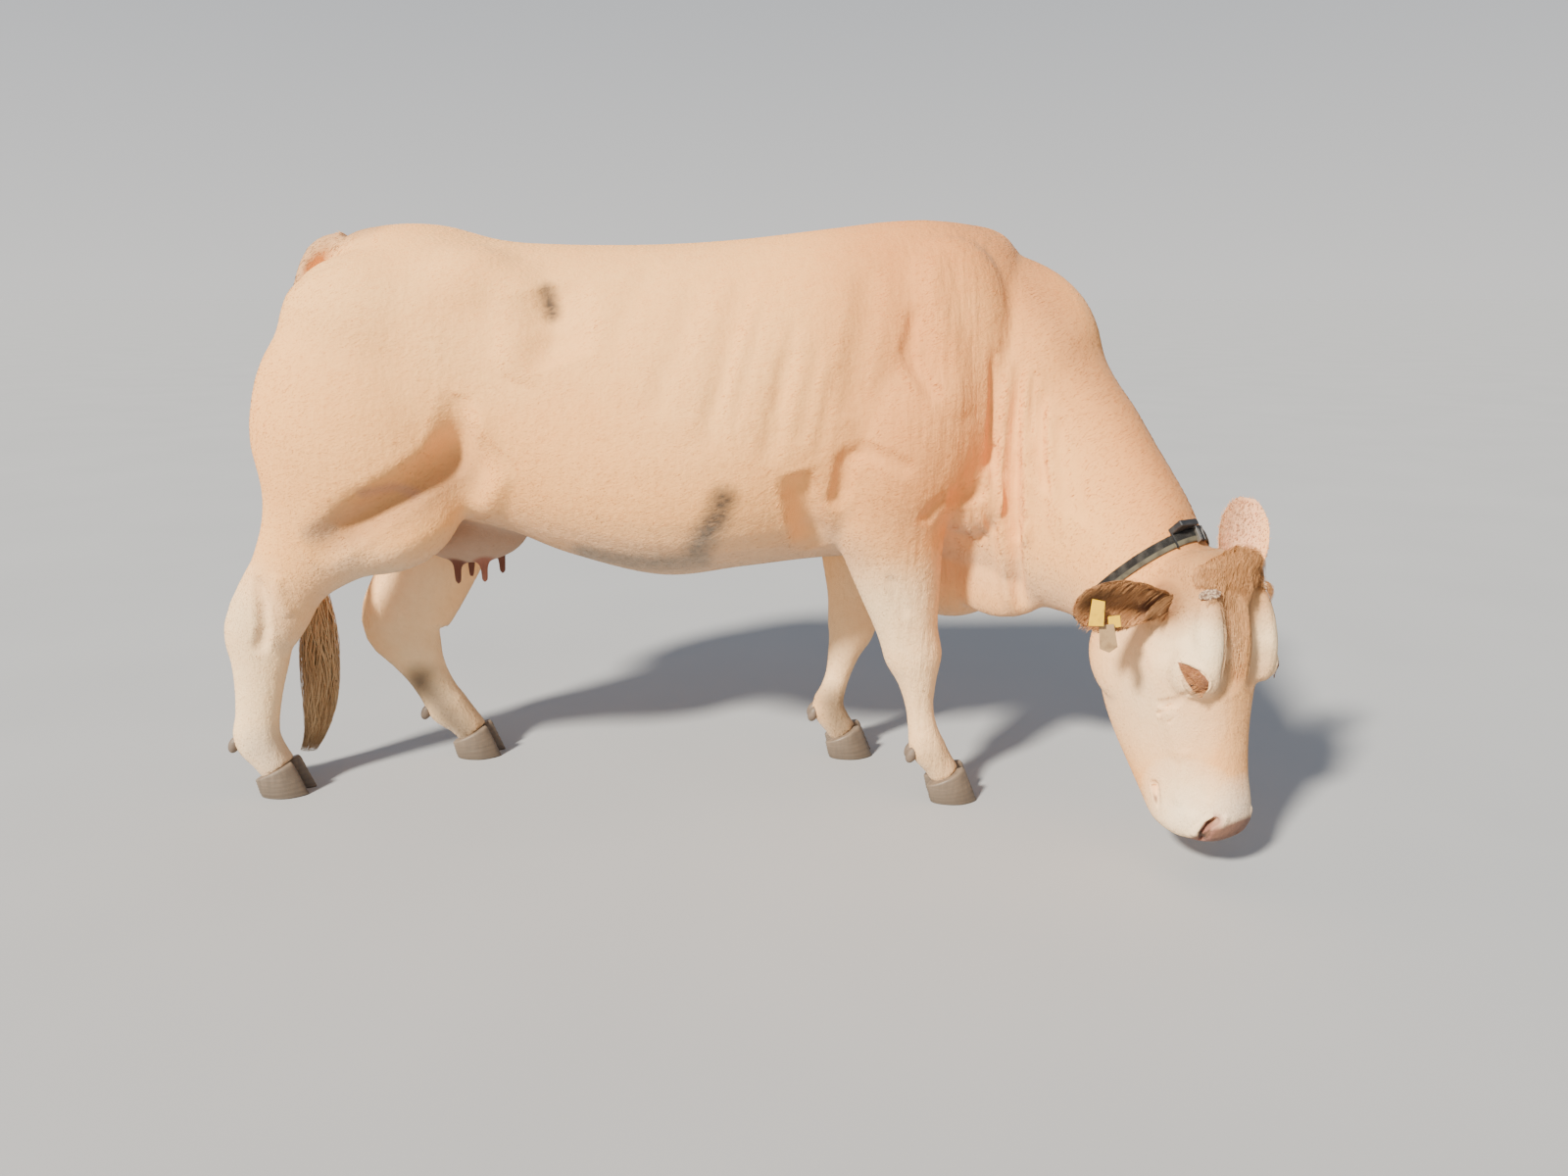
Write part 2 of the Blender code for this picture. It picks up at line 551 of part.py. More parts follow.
def face_lift(spots, normals):
    """Height of the face's creases and ridges at each point: the strongest one counts."""
    lift = np.zeros(len(spots))
    for path, reach, height in FACE_MARKS:
        for side in BOTH:
            turned = [head_frame() @ mirrored_spot(point, side) for point in path]
            rise = height * nearness(spots, turned, reach)
            lift = np.where(np.abs(rise) > np.abs(lift), rise, lift)
    return lift


def body_lift(spots, normals):
    """Height of the body's hollows and ridges at each point, on the sides that they belong to."""
    lift = np.zeros(len(spots))
    for sides, path, reach, height in BODY_MARKS:
        close = nearness(spots[:, (0, 2)], path, reach)
        for side in sides:
            facing = np.clip(side * normals[:, 1] * 1.6, 0, 1) * (side * spots[:, 1] > 0)
            lift += height * close * facing
    return lift


def thinned(thing, name, triangles, collection):
    """A copy with about the given number of triangles."""
    faces = sum(len(face.vertices) - 2 for face in thing.data.polygons)
    thin = thing.modifiers.new("thin", "DECIMATE")
    thin.ratio = triangles / faces
    made = applied(thing, name, collection)
    thing.modifiers.remove(thin)
    return made


def block(name, low, high, cutters, frame=None):
    """A box cutter between two corners, in the body's frame or another one."""
    bm = bmesh.new()
    bmesh.ops.create_cube(bm, size=1)
    mesh = bpy.data.meshes.new(name)
    bm.to_mesh(mesh)
    bm.free()
    low, high = Vector(low), Vector(high)
    place = Matrix.Translation((low + high) / 2) @ Matrix.Diagonal((*(high - low), 1))
    mesh.transform((frame or Matrix.Identity(4)) @ place)
    made = new_object(name, mesh, cutters)
    made.hide_render = True
    made.display_type = "WIRE"
    return made


def grown(thing, distance, collection):
    """A copy whose surface stands off from the first by the distance."""
    swell = thing.modifiers.new("swell", "DISPLACE")
    swell.strength = distance
    swell.mid_level = 0
    made = applied(thing, thing.name + "_grown", collection)
    thing.modifiers.remove(swell)
    made.hide_render = True
    made.display_type = "WIRE"
    return made


def cut(thing, tool, operation, name, collection, solver="EXACT"):
    """Boolean of a thing and a tool, as a new object."""
    step = thing.modifiers.new("cut", "BOOLEAN")
    step.operation = operation
    step.solver = solver
    step.object = tool
    made = applied(thing, name, collection)
    thing.modifiers.remove(step)
    return largest(made)


def largest(thing):
    """Keeps the thing's largest closed surface."""
    bm = bmesh.new()
    bm.from_mesh(thing.data)
    bmesh.ops.remove_doubles(bm, verts=bm.verts, dist=1e-6)
    unseen = set(bm.verts)
    groups = []
    while unseen:
        start = unseen.pop()
        group = [start]
        edge_of = [start]
        while edge_of:
            for link in edge_of.pop().link_edges:
                for vertex in link.verts:
                    if vertex in unseen:
                        unseen.discard(vertex)
                        group.append(vertex)
                        edge_of.append(vertex)
        groups.append(group)
    groups.sort(key=len)
    spare = [vertex for group in groups[:-1] for vertex in group]
    bmesh.ops.delete(bm, geom=spare, context="VERTS")
    bm.to_mesh(thing.data)
    bm.free()
    return thing


def cut_frame(origin, normal, across):
    """Matrix of a cutter: its z axis is the normal of the cut, its y axis runs across."""
    normal = normal.normalized()
    across = (across - normal * across.dot(normal)).normalized()
    frame = Matrix((across.cross(normal), across, normal)).transposed().to_4x4()
    frame.translation = origin
    return frame


def head_cut():
    """Frame of the cut behind the poll and the jaws, its z axis towards the face."""
    face = head_frame()
    nape = face @ Vector((-0.030, 0, -0.050))
    throat = face @ Vector((0.185, 0, -0.365))
    left = face.to_3x3() @ Vector((0, 1, 0))
    return cut_frame(nape, left.cross(nape - throat), left)


def neck_cut():
    """Frame of the cut at the root of the neck, its z axis towards the head."""
    return cut_frame(Vector((0.565, 0, 0.95)), Vector((0.94, -0.30, -0.12)), Vector((0, 1, 0)))


def hoof_axis(stations):
    """Middle of the coronet of a foot, from the last station of its leg."""
    x, y = stations[-1][:2]
    return Vector((x, y, (CORONET_FRONT + CORONET_HEEL) / 2))


def coronet_frame(stations):
    """Frame of the slanting cut over a hoof, its z axis upwards."""
    slope = math.atan2(CORONET_FRONT - CORONET_HEEL, CLAW_LENGTH * 0.8)
    return Matrix.Translation(hoof_axis(stations)) @ Matrix.Rotation(-slope, 4, "Y")


def claw(name, stations, side, collection, cutters):
    """One claw of a hoof: a flat sole, a sloping front wall and a cut slanting back over the top."""
    foot = hoof_axis(stations)
    rings = []
    for z, shift, shrink in CLAW_LEVELS:
        centre = Vector((foot.x + shift, foot.y + side * (CLAW_WIDTH + TOE_SPLIT) / 2, z))
        ring = []
        for k in range(CLAW_SIDES):
            turn = 2 * math.pi * k / CLAW_SIDES
            ahead = math.cos(turn)
            point = 1 - 0.35 * max(0, ahead) ** 2
            curl = -side * 0.006 * max(0, ahead) ** 2
            ring.append(centre + Vector((CLAW_LENGTH / 2 * ahead * shrink,
                                         CLAW_WIDTH / 2 * math.sin(turn) * point * shrink + curl, 0)))
        rings.append(ring)
    whole = loft(name + "_whole", rings, collection)
    top = block(name + "_top", (-0.3, -0.3, -GAP), (0.3, 0.3, 0.3), cutters, coronet_frame(stations))
    made = cut(whole, top, "DIFFERENCE", name, collection)
    bpy.data.objects.remove(whole, do_unlink=True)
    return made


def body_pieces(forms, cutters):
    """The body parted into head, neck, torso and legs. Returns the solids by name."""
    body_forms(forms)
    things = list(forms.objects)
    blank = fused("blank", things, VOXEL, 6, forms)
    head_things = [thing for thing in things if thing.name.split("_form")[0] in HEAD_PARTS]
    head_blank = fused("head_blank", head_things, HEAD_VOXEL, 5, forms)
    lifted(blank, body_lift)
    lifted(head_blank, face_lift)
    coarse = thinned(blank, "coarse", BODY_TRIANGLES, forms)
    fine = thinned(blank, "fine", LEG_TRIANGLES, forms)
    head_skin = thinned(head_blank, "head_skin", HEAD_TRIANGLES, forms)

    reach = 0.55
    at_head, at_neck = head_cut(), neck_cut()
    head_box = block("head_box", (-0.42, -reach, 0), (0.42, reach, 0.9), cutters, at_head)
    head_away = block("head_away", (-0.42, -reach, -GAP), (0.42, reach, 0.9), cutters, at_head)
    neck_box = block("neck_box", (-0.52, -reach, 0), (0.65, reach, 0.9), cutters, at_neck)
    neck_away = block("neck_away", (-0.52, -reach, -GAP), (0.65, reach, 0.9), cutters, at_neck)

    head = cut(head_skin, head_box, "INTERSECT", "head", forms)
    headless = cut(coarse, head_away, "DIFFERENCE", "headless", forms)
    neck = cut(headless, neck_box, "INTERSECT", "neck", forms)
    trunk = cut(headless, neck_away, "DIFFERENCE", "trunk", forms)
    solids = {"head": head, "neck": neck}

    for name, side, (rear, front), top, middle, stations in LEGS:
        inner, outer = sorted((side * LEG_INSIDE, side * 0.6))
        upper_box = block(name + "_upper_box", (rear, inner, middle), (front, outer, top), cutters)
        lower_box = block(name + "_lower_box", (rear, inner, -0.1), (front, outer, middle - GAP), cutters)
        away = block(name + "_away", (rear - GAP, inner - GAP, -0.2), (front + GAP, outer + GAP, top + GAP),
                     cutters)
        upper = cut(coarse, upper_box, "INTERSECT", name + "_upper_leg", forms)
        lower = cut(fine, lower_box, "INTERSECT", name + "_shank", forms)
        floor = block(name + "_sole", (-0.5, -0.5, -0.5), (0.5, 0.5, 0), cutters, coronet_frame(stations))
        solids[name + "_upper_leg"] = upper
        solids[name + "_lower_leg"] = cut(lower, floor, "DIFFERENCE", name + "_lower_leg", forms)
        trunk = cut(trunk, away, "DIFFERENCE", "trunk_" + name, forms)
        for claw_name, claw_side in (("outer", side), ("inner", -side)):
            hoof = name + "_" + claw_name + "_claw"
            solids[hoof] = claw(hoof, stations, claw_side, forms, cutters)
    solids["torso"] = trunk
    return solids


def joined(thing, others, name, collection, solver="MANIFOLD"):
    """Boolean union of a thing with others, kept to its largest closed surface."""
    group = bpy.data.collections.new(name + "_group")
    bpy.context.scene.collection.children.link(group)
    for other in others:
        group.objects.link(other)
    step = thing.modifiers.new("join", "BOOLEAN")
    step.operation = "UNION"
    step.solver = solver
    step.operand_type = "COLLECTION"
    step.collection = group
    made = applied(thing, name, collection)
    thing.modifiers.remove(step)
    for other in list(group.objects):
        bpy.data.objects.remove(other, do_unlink=True)
    bpy.data.collections.remove(group)
    return largest(made)


def lock(name, path, outs, width, thickness, collection):
    """A flat lock of hair that tapers along its path. outs are the ways its flat side faces."""
    rings = []
    last = len(path) - 1
    for i, (point, out) in enumerate(zip(path, outs)):
        along = (path[min(i + 1, last)] - path[max(i - 1, 0)]).normalized()
        across = along.cross(out).normalized()
        out = across.cross(along)
        share = 1 - 0.92 * (i / last) ** 1.6
        rings.append([point + across * (width / 2 * share), point + out * (thickness / 2 * share),
                      point - across * (width / 2 * share), point - out * (thickness / 2 * share)])
    return loft(name, rings, collection)


def laid_path(tree, start, heading, length, steps, lift):
    """Points and outward ways of a path that runs over a skin, sunk at its start and raised after."""
    point, out = tree.find_nearest(start)[:2]
    path = [point - out * lift]
    outs = [out]
    for i in range(steps):
        heading = (heading - out * heading.dot(out)).normalized()
        point, out = tree.find_nearest(point + heading * (length / steps))[:2]
        path.append(point + out * (lift * (1.0 - 0.5 * i / steps)))
        outs.append(out)
    return path, outs


def poll_locks(head, forms):
    """Hair of the poll: a crest that sweeps to the left, and long strands down the face."""
    chance = random.Random(7)
    tree = BVHTree.FromObject(head, bpy.context.evaluated_depsgraph_get())
    face = head_frame()
    turn = face.to_3x3()
    locks = []
    count, length, width, thickness = POLL_LOCKS
    for row in range(2):
        for i in range(count):
            share = (i + 0.5 * (row % 2)) / (count - 1)
            start = face @ Vector((-0.018 + 0.022 * row, -0.100 + 0.215 * share, 0.03))
            heading = turn @ Vector((1.0, 0.30 - 0.25 * share + chance.uniform(-0.2, 0.2), 0))
            path, outs = laid_path(tree, start, heading, length * chance.uniform(0.8, 1.15), 3,
                                   0.015 - 0.003 * row)
            locks.append(lock("poll_lock", path, outs, width, thickness, forms))
    count, length, width, thickness = FACE_LOCKS
    for i in range(count):
        start = face @ Vector((0.045 + 0.012 * i, 0.030 + 0.020 * i, 0.04))
        heading = turn @ Vector((1.0, 0.06 * (i - 1), 0))
        path, outs = laid_path(tree, start, heading, length, 4, 0.007)
        locks.append(lock("face_lock", path, outs, width, thickness, forms))
    return locks


def switch_locks(core, forms):
    """Locks round the tail's core, hanging to the tip."""
    chance = random.Random(111)
    tree = BVHTree.FromObject(core, bpy.context.evaluated_depsgraph_get())
    locks = []
    count, length, width, thickness = SWITCH_LOCKS
    for i in range(count):
        level = i / (count - 1)
        middle = Vector((-1.215 - 0.02 * level, 0, 0.54 - 0.30 * level))
        around = i * 2.4
        start = middle + Vector((0.05 * math.cos(around), 0.05 * math.sin(around), 0))
        reach = length * chance.uniform(0.8, 1.1)
        path, outs = laid_path(tree, start, Vector((-0.05, 0, -1)), reach, 3, 0.008)
        locks.append(lock("switch_lock", path, outs, width, thickness, forms))
    return locks


def ear_locks(place, forms):
    """Hair that hangs from the ear's edges."""
    chance = random.Random(5)
    base, axis, hollow, length = place
    axis = Vector(axis).normalized()
    hollow = Vector(hollow)
    hollow = (hollow - axis * hollow.dot(axis)).normalized()
    across = axis.cross(hollow)
    down = across if across.z < 0 else -across
    locks = []
    count, reach, width, thickness = EAR_LOCKS
    for i in range(count):
        share = 0.15 + 0.62 * i / (count - 1)
        half = np.interp(share * EAR[-1][0], [row[0] for row in EAR], [row[1] for row in EAR])
        edge = Vector(base) + axis * (share * length) + down * (half * 0.70) + hollow * 0.004
        heading = (down + axis * chance.uniform(-0.1, 0.4) + hollow * 0.15).normalized()
        path = [edge + heading * (reach * chance.uniform(0.8, 1.1) * t) for t in (0, 0.5, 1)]
        locks.append(lock("ear_lock", path, [hollow] * 3, width, thickness, forms))
    return locks


def ear(name, base, axis, hollow, length, collection):
    """A leaf-shaped cup: its axis runs from base to tip, its hollow faces the way given."""
    axis = Vector(axis).normalized()
    hollow = Vector(hollow)
    hollow = (hollow - axis * hollow.dot(axis)).normalized()
    across = axis.cross(hollow)
    rings = []
    rows = smooth_path([(row[0], 0, 0, row[1], row[2]) for row in EAR])
    for row in rows:
        middle = Vector(base) + axis * (row[0] * length / EAR[-1][0])
        inner = []
        outer = []
        for k in range(7):
            t = -1 + 2 * k / 6
            rise = row[4] * (t * t - 0.5)
            inner.append(middle + across * (row[3] * t * 0.93) + hollow * (rise + 0.001))
            wall = EAR_THICKNESS * (1 - 0.55 * t * t)
            outer.append(middle + across * (row[3] * t) + hollow * (rise - wall))
        rings.append(inner + outer[::-1])
    return loft(name, rings, collection)


def plate(name, outline, thickness, frame, collection, rim=0.0006):
    """A flat plate with rounded edges: its outline in x and y of the frame, its thickness along z."""
    bm = bmesh.new()
    face = bm.faces.new([bm.verts.new((x, y, -thickness / 2)) for x, y in outline])
    grown_faces = bmesh.ops.extrude_face_region(bm, geom=[face])["geom"]
    raised = [item for item in grown_faces if isinstance(item, bmesh.types.BMVert)]
    bmesh.ops.translate(bm, verts=raised, vec=(0, 0, thickness))
    bmesh.ops.recalc_face_normals(bm, faces=bm.faces)
    bmesh.ops.bevel(bm, geom=list(bm.edges), offset=rim, segments=1, affect="EDGES")
    mesh = bpy.data.meshes.new(name)
    bm.to_mesh(mesh)
    bm.free()
    mesh.transform(frame)
    return new_object(name, mesh, collection)


def placed(x_axis, z_axis, origin):
    """Frame from its x and z directions."""
    z_axis = Vector(z_axis).normalized()
    x_axis = Vector(x_axis)
    x_axis = (x_axis - z_axis * x_axis.dot(z_axis)).normalized()
    frame = Matrix((x_axis, z_axis.cross(x_axis), z_axis)).transposed().to_4x4()
    frame.translation = Vector(origin)
    return frame


def cleared(thing, others, name, collection, solver="EXACT"):
    """The thing without the space of the others and a gap round them."""
    for other in others:
        shell = grown(other, GAP, collection)
        smaller = cut(thing, shell, "DIFFERENCE", name, collection, solver)
        smallest = cut(smaller, other, "DIFFERENCE", name, collection, solver)
        for spare in (thing, smaller, shell):
            bpy.data.objects.remove(spare, do_unlink=True)
        thing = smallest
    thing.name = name
    return thing


def mirrored_spot(place, side):
    """A point of the head's left half, or its twin on the right where side is -1."""
    return Vector((place[0], side * place[1], place[2]))


def finished_head(head, neck, forms):
    """The head with its sockets, nostrils and tuft, and the ears, eyes and horn buds on it."""
    face = head_frame()
    made = {}
    for label, side in SIDES:
        eye = ball(label + "_eye", face @ mirrored_spot(EYE_PLACE, side), EYE_RADIUS, forms)
        made[label + "_eye"] = eye
        head = cleared(head, [eye], "head_with_eyes", forms)
        nostril = mass("nostril", mirrored_spot(NOSTRIL_PLACE, side), NOSTRIL_SIZES, forms,
                       (side * 35, 36, 0), face, 10)
        head = cut(head, nostril, "DIFFERENCE", "head_with_nostrils", forms)
    head = joined(head, poll_locks(head, forms), "head_with_locks", forms)
    for label, side in SIDES:
        leaf = ear(label + "_leaf", *EAR_PLACES[label], forms)
        if label == "right":
            leaf = joined(leaf, ear_locks(EAR_PLACES[label], forms), "right_leaf_with_locks", forms)
        made[label + "_ear"] = cleared(leaf, [head, neck], label + "_ear", forms)
        bud = mass("bud", mirrored_spot(HORN_PLACE, side), HORN_SIZES, forms, (0, 0, side * 25), face, 8)
        made[label + "_horn_bud"] = cleared(bud, [head], label + "_horn_bud", forms)
    made["head"] = head
    return made


def udder(neighbours, forms):
    """The bag with its four teats, without the space of the belly and the thighs."""
    bag = [mass("bag", UDDER_CENTRE, UDDER_SIZES, forms)]
    for x, y, tip in TEATS:
        rows = ((x, y * 0.9, tip + 0.110, 0.018, 0.018), (x, y, tip + 0.045, 0.014, 0.014),
                (x, y, tip + 0.012, 0.012, 0.012), (x, y, tip, 0.006, 0.006))
        bag.append(tube("teat_form", rows, forms, Vector((0, 1, 0)), 12))
    blank = fused("bag_blank", bag, 0.006, 2, forms)
    return cleared(thinned(blank, "bag", UDDER_TRIANGLES, forms), neighbours, "udder", forms, "MANIFOLD")


def tail(trunk, cutters, forms):
    """The dock and, below a level cut, the brush with its locks."""
    across = Vector((0, 1, 0))
    high = block("tail_high", (-1.5, -0.2, BRUSH_TOP - GAP), (-0.9, 0.2, 1.6), cutters)
    low = block("tail_low", (-1.5, -0.2, -0.1), (-0.9, 0.2, BRUSH_TOP), cutters)
    dock = cleared(tube("dock", DOCK, forms, across, 12, 0.05), [trunk], "dock", forms)
    core = tube("core", SWITCH, forms, across, 10, 0.05)
    brush = joined(core, switch_locks(core, forms), "brush", forms)
    return {"tail": cut(dock, low, "DIFFERENCE", "tail", forms),
            "tail_switch": cut(brush, high, "DIFFERENCE", "tail_switch", forms)}


def collar(neck, cutters, forms):
    """A strap that hugs the neck just behind the poll, and its buckle on the crest."""
    at_head = head_cut()
    reach = 0.4
    slab = block("strap_slab", (-reach, -reach, STRAP_PLACE), (reach, reach, STRAP_PLACE + STRAP_WIDTH),
                 cutters, at_head)
    band = cut(grown(neck, STRAP_THICKNESS, forms), slab, "INTERSECT", "band", forms)
    band = cleared(band, [neck], "collar", forms)
    wide, high, thick = CLASP_SIZES
    crest = at_head @ Vector((-0.1, CLASP_SIDEWAYS, STRAP_PLACE + STRAP_WIDTH / 2))
    tree = BVHTree.FromObject(band, bpy.context.evaluated_depsgraph_get())
    spot, out = tree.find_nearest(crest)[:2]
    frame = placed(at_head.col[1].to_3d(), out, spot + out * (thick / 2 + GAP))
    outline = [(wide / 2 * a, high / 2 * b) for a, b in ((-1, -1), (1, -1), (1, 1), (-1, 1))]
    clasp = plate("clasp", outline, thick, frame, forms, 0.002)
    return {"collar": band, "collar_buckle": cleared(clasp, [neck, band], "collar_buckle", forms)}


def main():
    clear_scene()
    pieces = new_collection("blonde_d_aquitaine_cow")
    forms = new_collection("forms")
    cutters = new_collection("cutters")
    looks = {
        "skin": material("skin", SKIN),
        "pale_hair": material("pale_hair", PALE_LEG),
        "switch_hair": material("switch_hair", SWITCH_HAIR),
        "horn": material("horn", HORN, 0.6),
        "teat": material("teat", TEAT, 0.6),
        "eye": material("eye", EYE, 0.15),
        "strap": material("strap", STRAP, 0.6),
        "buckle": material("buckle", BUCKLE, 0.4),
        "tag": material("tag", TAG, 0.5),
        "pale_tag": material("pale_tag", PALE_TAG, 0.5),
    }

    solids = body_pieces(forms, cutters)
    solids.update(finished_head(solids["head"], solids["neck"], forms))
    torso_piece = solids["torso"]
    solids["udder"] = udder([torso_piece, solids["near_hind_upper_leg"], solids["far_hind_upper_leg"]], forms)
    solids.update(tail(torso_piece, cutters, forms))
    solids.update(collar(solids["neck"], cutters, forms))
    for name, outline, spot in TAGS:
        sheet = plate(name + "_sheet", outline, TAG_THICKNESS, placed(TAG_ALONG, TAG_FACING, spot), forms)
        solids[name] = cleared(sheet, [solids["right_ear"]], name, forms)

    for thing in solids.values():
        pieces.objects.link(thing)
        forms.objects.unlink(thing)
    for thing in list(forms.objects):
        bpy.data.objects.remove(thing, do_unlink=True)
    bpy.data.collections.remove(forms)
    for name, thing in solids.items():
        thing.name = name
        thing.hide_render = False
        thing.display_type = "TEXTURED"
        thing.data.materials.clear()
        thing.data.materials.append(looks[look_of(name)])

    corners = [vertex.co for thing in pieces.objects for vertex in thing.data.vertices]
    low = [min(corner[i] for corner in corners) for i in range(3)]
    high = [max(corner[i] for corner in corners) for i in range(3)]
    to_origin = Matrix.Translation((-(low[0] + high[0]) / 2, -(low[1] + high[1]) / 2, -low[2]))
    for thing in list(pieces.objects) + list(cutters.objects):
        thing.data.transform(to_origin)
    return to_origin.translation


def look_of(name):
    """Name of the material of a piece."""
    for part, look in LOOKS:
        if part in name:
            return look
    return "skin"


SHIFT = main()
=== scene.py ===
"""The grazing Blonde d'Aquitaine cow as it looks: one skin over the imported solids, its short coat,
long hair, eyes, hooves, collar and ear tags, on a plain floor in soft light.

Everything is modelled in the cow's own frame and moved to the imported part's frame at the end.
"""

import json
import math

import bmesh
import bpy
import numpy as np
from mathutils import Matrix, Vector
from mathutils.bvhtree import BVHTree

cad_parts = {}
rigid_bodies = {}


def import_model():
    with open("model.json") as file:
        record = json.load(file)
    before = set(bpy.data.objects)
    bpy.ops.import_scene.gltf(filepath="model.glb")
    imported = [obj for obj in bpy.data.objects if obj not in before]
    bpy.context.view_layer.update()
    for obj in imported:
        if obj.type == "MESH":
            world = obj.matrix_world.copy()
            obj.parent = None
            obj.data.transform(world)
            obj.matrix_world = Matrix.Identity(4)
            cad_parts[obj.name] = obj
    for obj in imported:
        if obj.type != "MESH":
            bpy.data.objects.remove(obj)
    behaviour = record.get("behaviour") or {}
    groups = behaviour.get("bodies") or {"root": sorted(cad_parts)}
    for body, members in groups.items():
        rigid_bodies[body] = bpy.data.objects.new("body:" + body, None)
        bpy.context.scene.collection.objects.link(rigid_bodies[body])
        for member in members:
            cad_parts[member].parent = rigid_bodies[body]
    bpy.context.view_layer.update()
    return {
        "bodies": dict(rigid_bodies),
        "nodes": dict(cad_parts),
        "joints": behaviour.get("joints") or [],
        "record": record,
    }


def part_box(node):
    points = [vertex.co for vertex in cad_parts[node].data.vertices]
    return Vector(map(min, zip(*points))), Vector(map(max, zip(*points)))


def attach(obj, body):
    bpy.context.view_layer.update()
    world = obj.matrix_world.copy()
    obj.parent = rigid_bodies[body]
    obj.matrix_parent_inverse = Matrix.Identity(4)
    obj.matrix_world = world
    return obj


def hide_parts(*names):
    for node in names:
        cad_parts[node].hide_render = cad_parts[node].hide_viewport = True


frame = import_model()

# Driving sizes of the cow, in metres
WITHERS = 1.42          # height of the back over the shoulders
LOIN = 1.365            # height of the loin, the lowest part of the back
SACRUM = 1.41           # height of the rump's crest
BELLY = 0.555           # height of the lowest part of the belly
BARREL = 0.365          # half the width of the body at the ribs
HIPS = 0.315            # half the width over the hip bones
FORE_FETLOCK = 0.135    # height of the fetlock of a foreleg
HIND_FETLOCK = 0.145    # height of the fetlock of a hind leg
HEAD_LENGTH = 0.62      # poll to muzzle

# The head's own frame: where the poll is, and which way the face runs, in the body's frame
POLL = Vector((0.953, -0.523, 0.702))
FACE_DOWN = Vector((0.068, -0.153, -0.986)).normalized()
FACE_LEFT = Vector((0.805, 0.592, -0.010))

RING_SIDES = 36
RING_STEP = 0.025       # distance between a loft's rings
# Torso: x, back height, underline height, half width, widening towards the belly, squareness
TORSO = (
    (-1.155, SACRUM - 0.21, 0.94, 0.06, 0.0, 2.0),
    (-1.115, SACRUM - 0.110, 0.84, 0.14, 0.0, 2.1),
    (-1.045, SACRUM - 0.028, 0.75, 0.230, 0.0, 2.2),
    (-0.95, SACRUM, 0.72, 0.290, -0.02, 2.3),
    (-0.82, SACRUM, 0.70, HIPS, -0.05, 2.3),
    (-0.68, LOIN + 0.010, 0.665, HIPS, 0.0, 2.3),
    (-0.52, LOIN, 0.605, HIPS + 0.020, 0.06, 2.3),
    (-0.30, LOIN, BELLY, BARREL - 0.005, 0.09, 2.3),
    (-0.10, LOIN + 0.012, BELLY + 0.022, BARREL, 0.09, 2.3),
    (0.10, WITHERS - 0.020, BELLY + 0.042, BARREL - 0.025, 0.06, 2.2),
    (0.28, WITHERS, BELLY + 0.040, 0.290, 0.04, 2.1),
    (0.42, WITHERS - 0.005, BELLY + 0.020, 0.245, 0.0, 2.0),
    (0.54, WITHERS - 0.042, BELLY + 0.030, 0.20, 0.0, 2.0),
    (0.62, WITHERS - 0.18, 0.70, 0.13, 0.0, 2.0),
)

# Limbs and neck: x, y, z of the middle, then half size fore and aft, and half size across
NECK = (
    (0.30, 0.000, 1.000, 0.40, 0.20),
    (0.46, -0.020, 0.925, 0.42, 0.205),
    (0.58, -0.090, 0.832, 0.350, 0.172),
    (0.684, -0.190, 0.754, 0.286, 0.145),
    (0.767, -0.286, 0.681, 0.224, 0.128),
    (0.826, -0.362, 0.610, 0.180, 0.120),
    (0.877, -0.427, 0.556, 0.138, 0.108),
)
HIND_RIGHT = (
    (-0.95, -0.150, 1.150, 0.205, 0.145),
    (-0.975, -0.185, 1.020, 0.256, 0.155),
    (-0.990, -0.195, 0.880, 0.272, 0.150),
    (-1.052, -0.188, 0.770, 0.250, 0.122),
    (-1.130, -0.170, 0.675, 0.152, 0.092),
    (-1.207, -0.155, 0.580, 0.102, 0.072),
    (-1.266, -0.145, 0.490, 0.098, 0.060),
    (-1.309, -0.135, 0.420, 0.092, 0.052),
    (-1.318, -0.130, 0.350, 0.076, 0.047),
    (-1.328, -0.130, 0.280, 0.064, 0.042),
    (-1.340, -0.130, 0.200, 0.058, 0.042),
    (-1.347, -0.130, HIND_FETLOCK, 0.062, 0.050),
    (-1.320, -0.130, 0.095, 0.050, 0.050),
    (-1.298, -0.130, 0.060, 0.047, 0.050),
)
HIND_LEFT = (
    (-0.95, 0.150, 1.150, 0.21, 0.145),
    (-0.965, 0.185, 1.020, 0.255, 0.155),
    (-0.955, 0.195, 0.880, 0.264, 0.150),
    (-0.930, 0.190, 0.760, 0.230, 0.125),
    (-0.922, 0.175, 0.660, 0.162, 0.100),
    (-0.945, 0.160, 0.560, 0.130, 0.078),
    (-0.999, 0.145, 0.460, 0.126, 0.060),
    (-1.040, 0.135, 0.375, 0.116, 0.052),
    (-1.012, 0.130, 0.300, 0.084, 0.047),
    (-0.985, 0.130, 0.240, 0.062, 0.042),
    (-0.955, 0.130, 0.180, 0.056, 0.042),
    (-0.930, 0.130, 0.135, 0.060, 0.050),
    (-0.890, 0.130, 0.095, 0.047, 0.050),
    (-0.865, 0.130, 0.060, 0.045, 0.050),
)
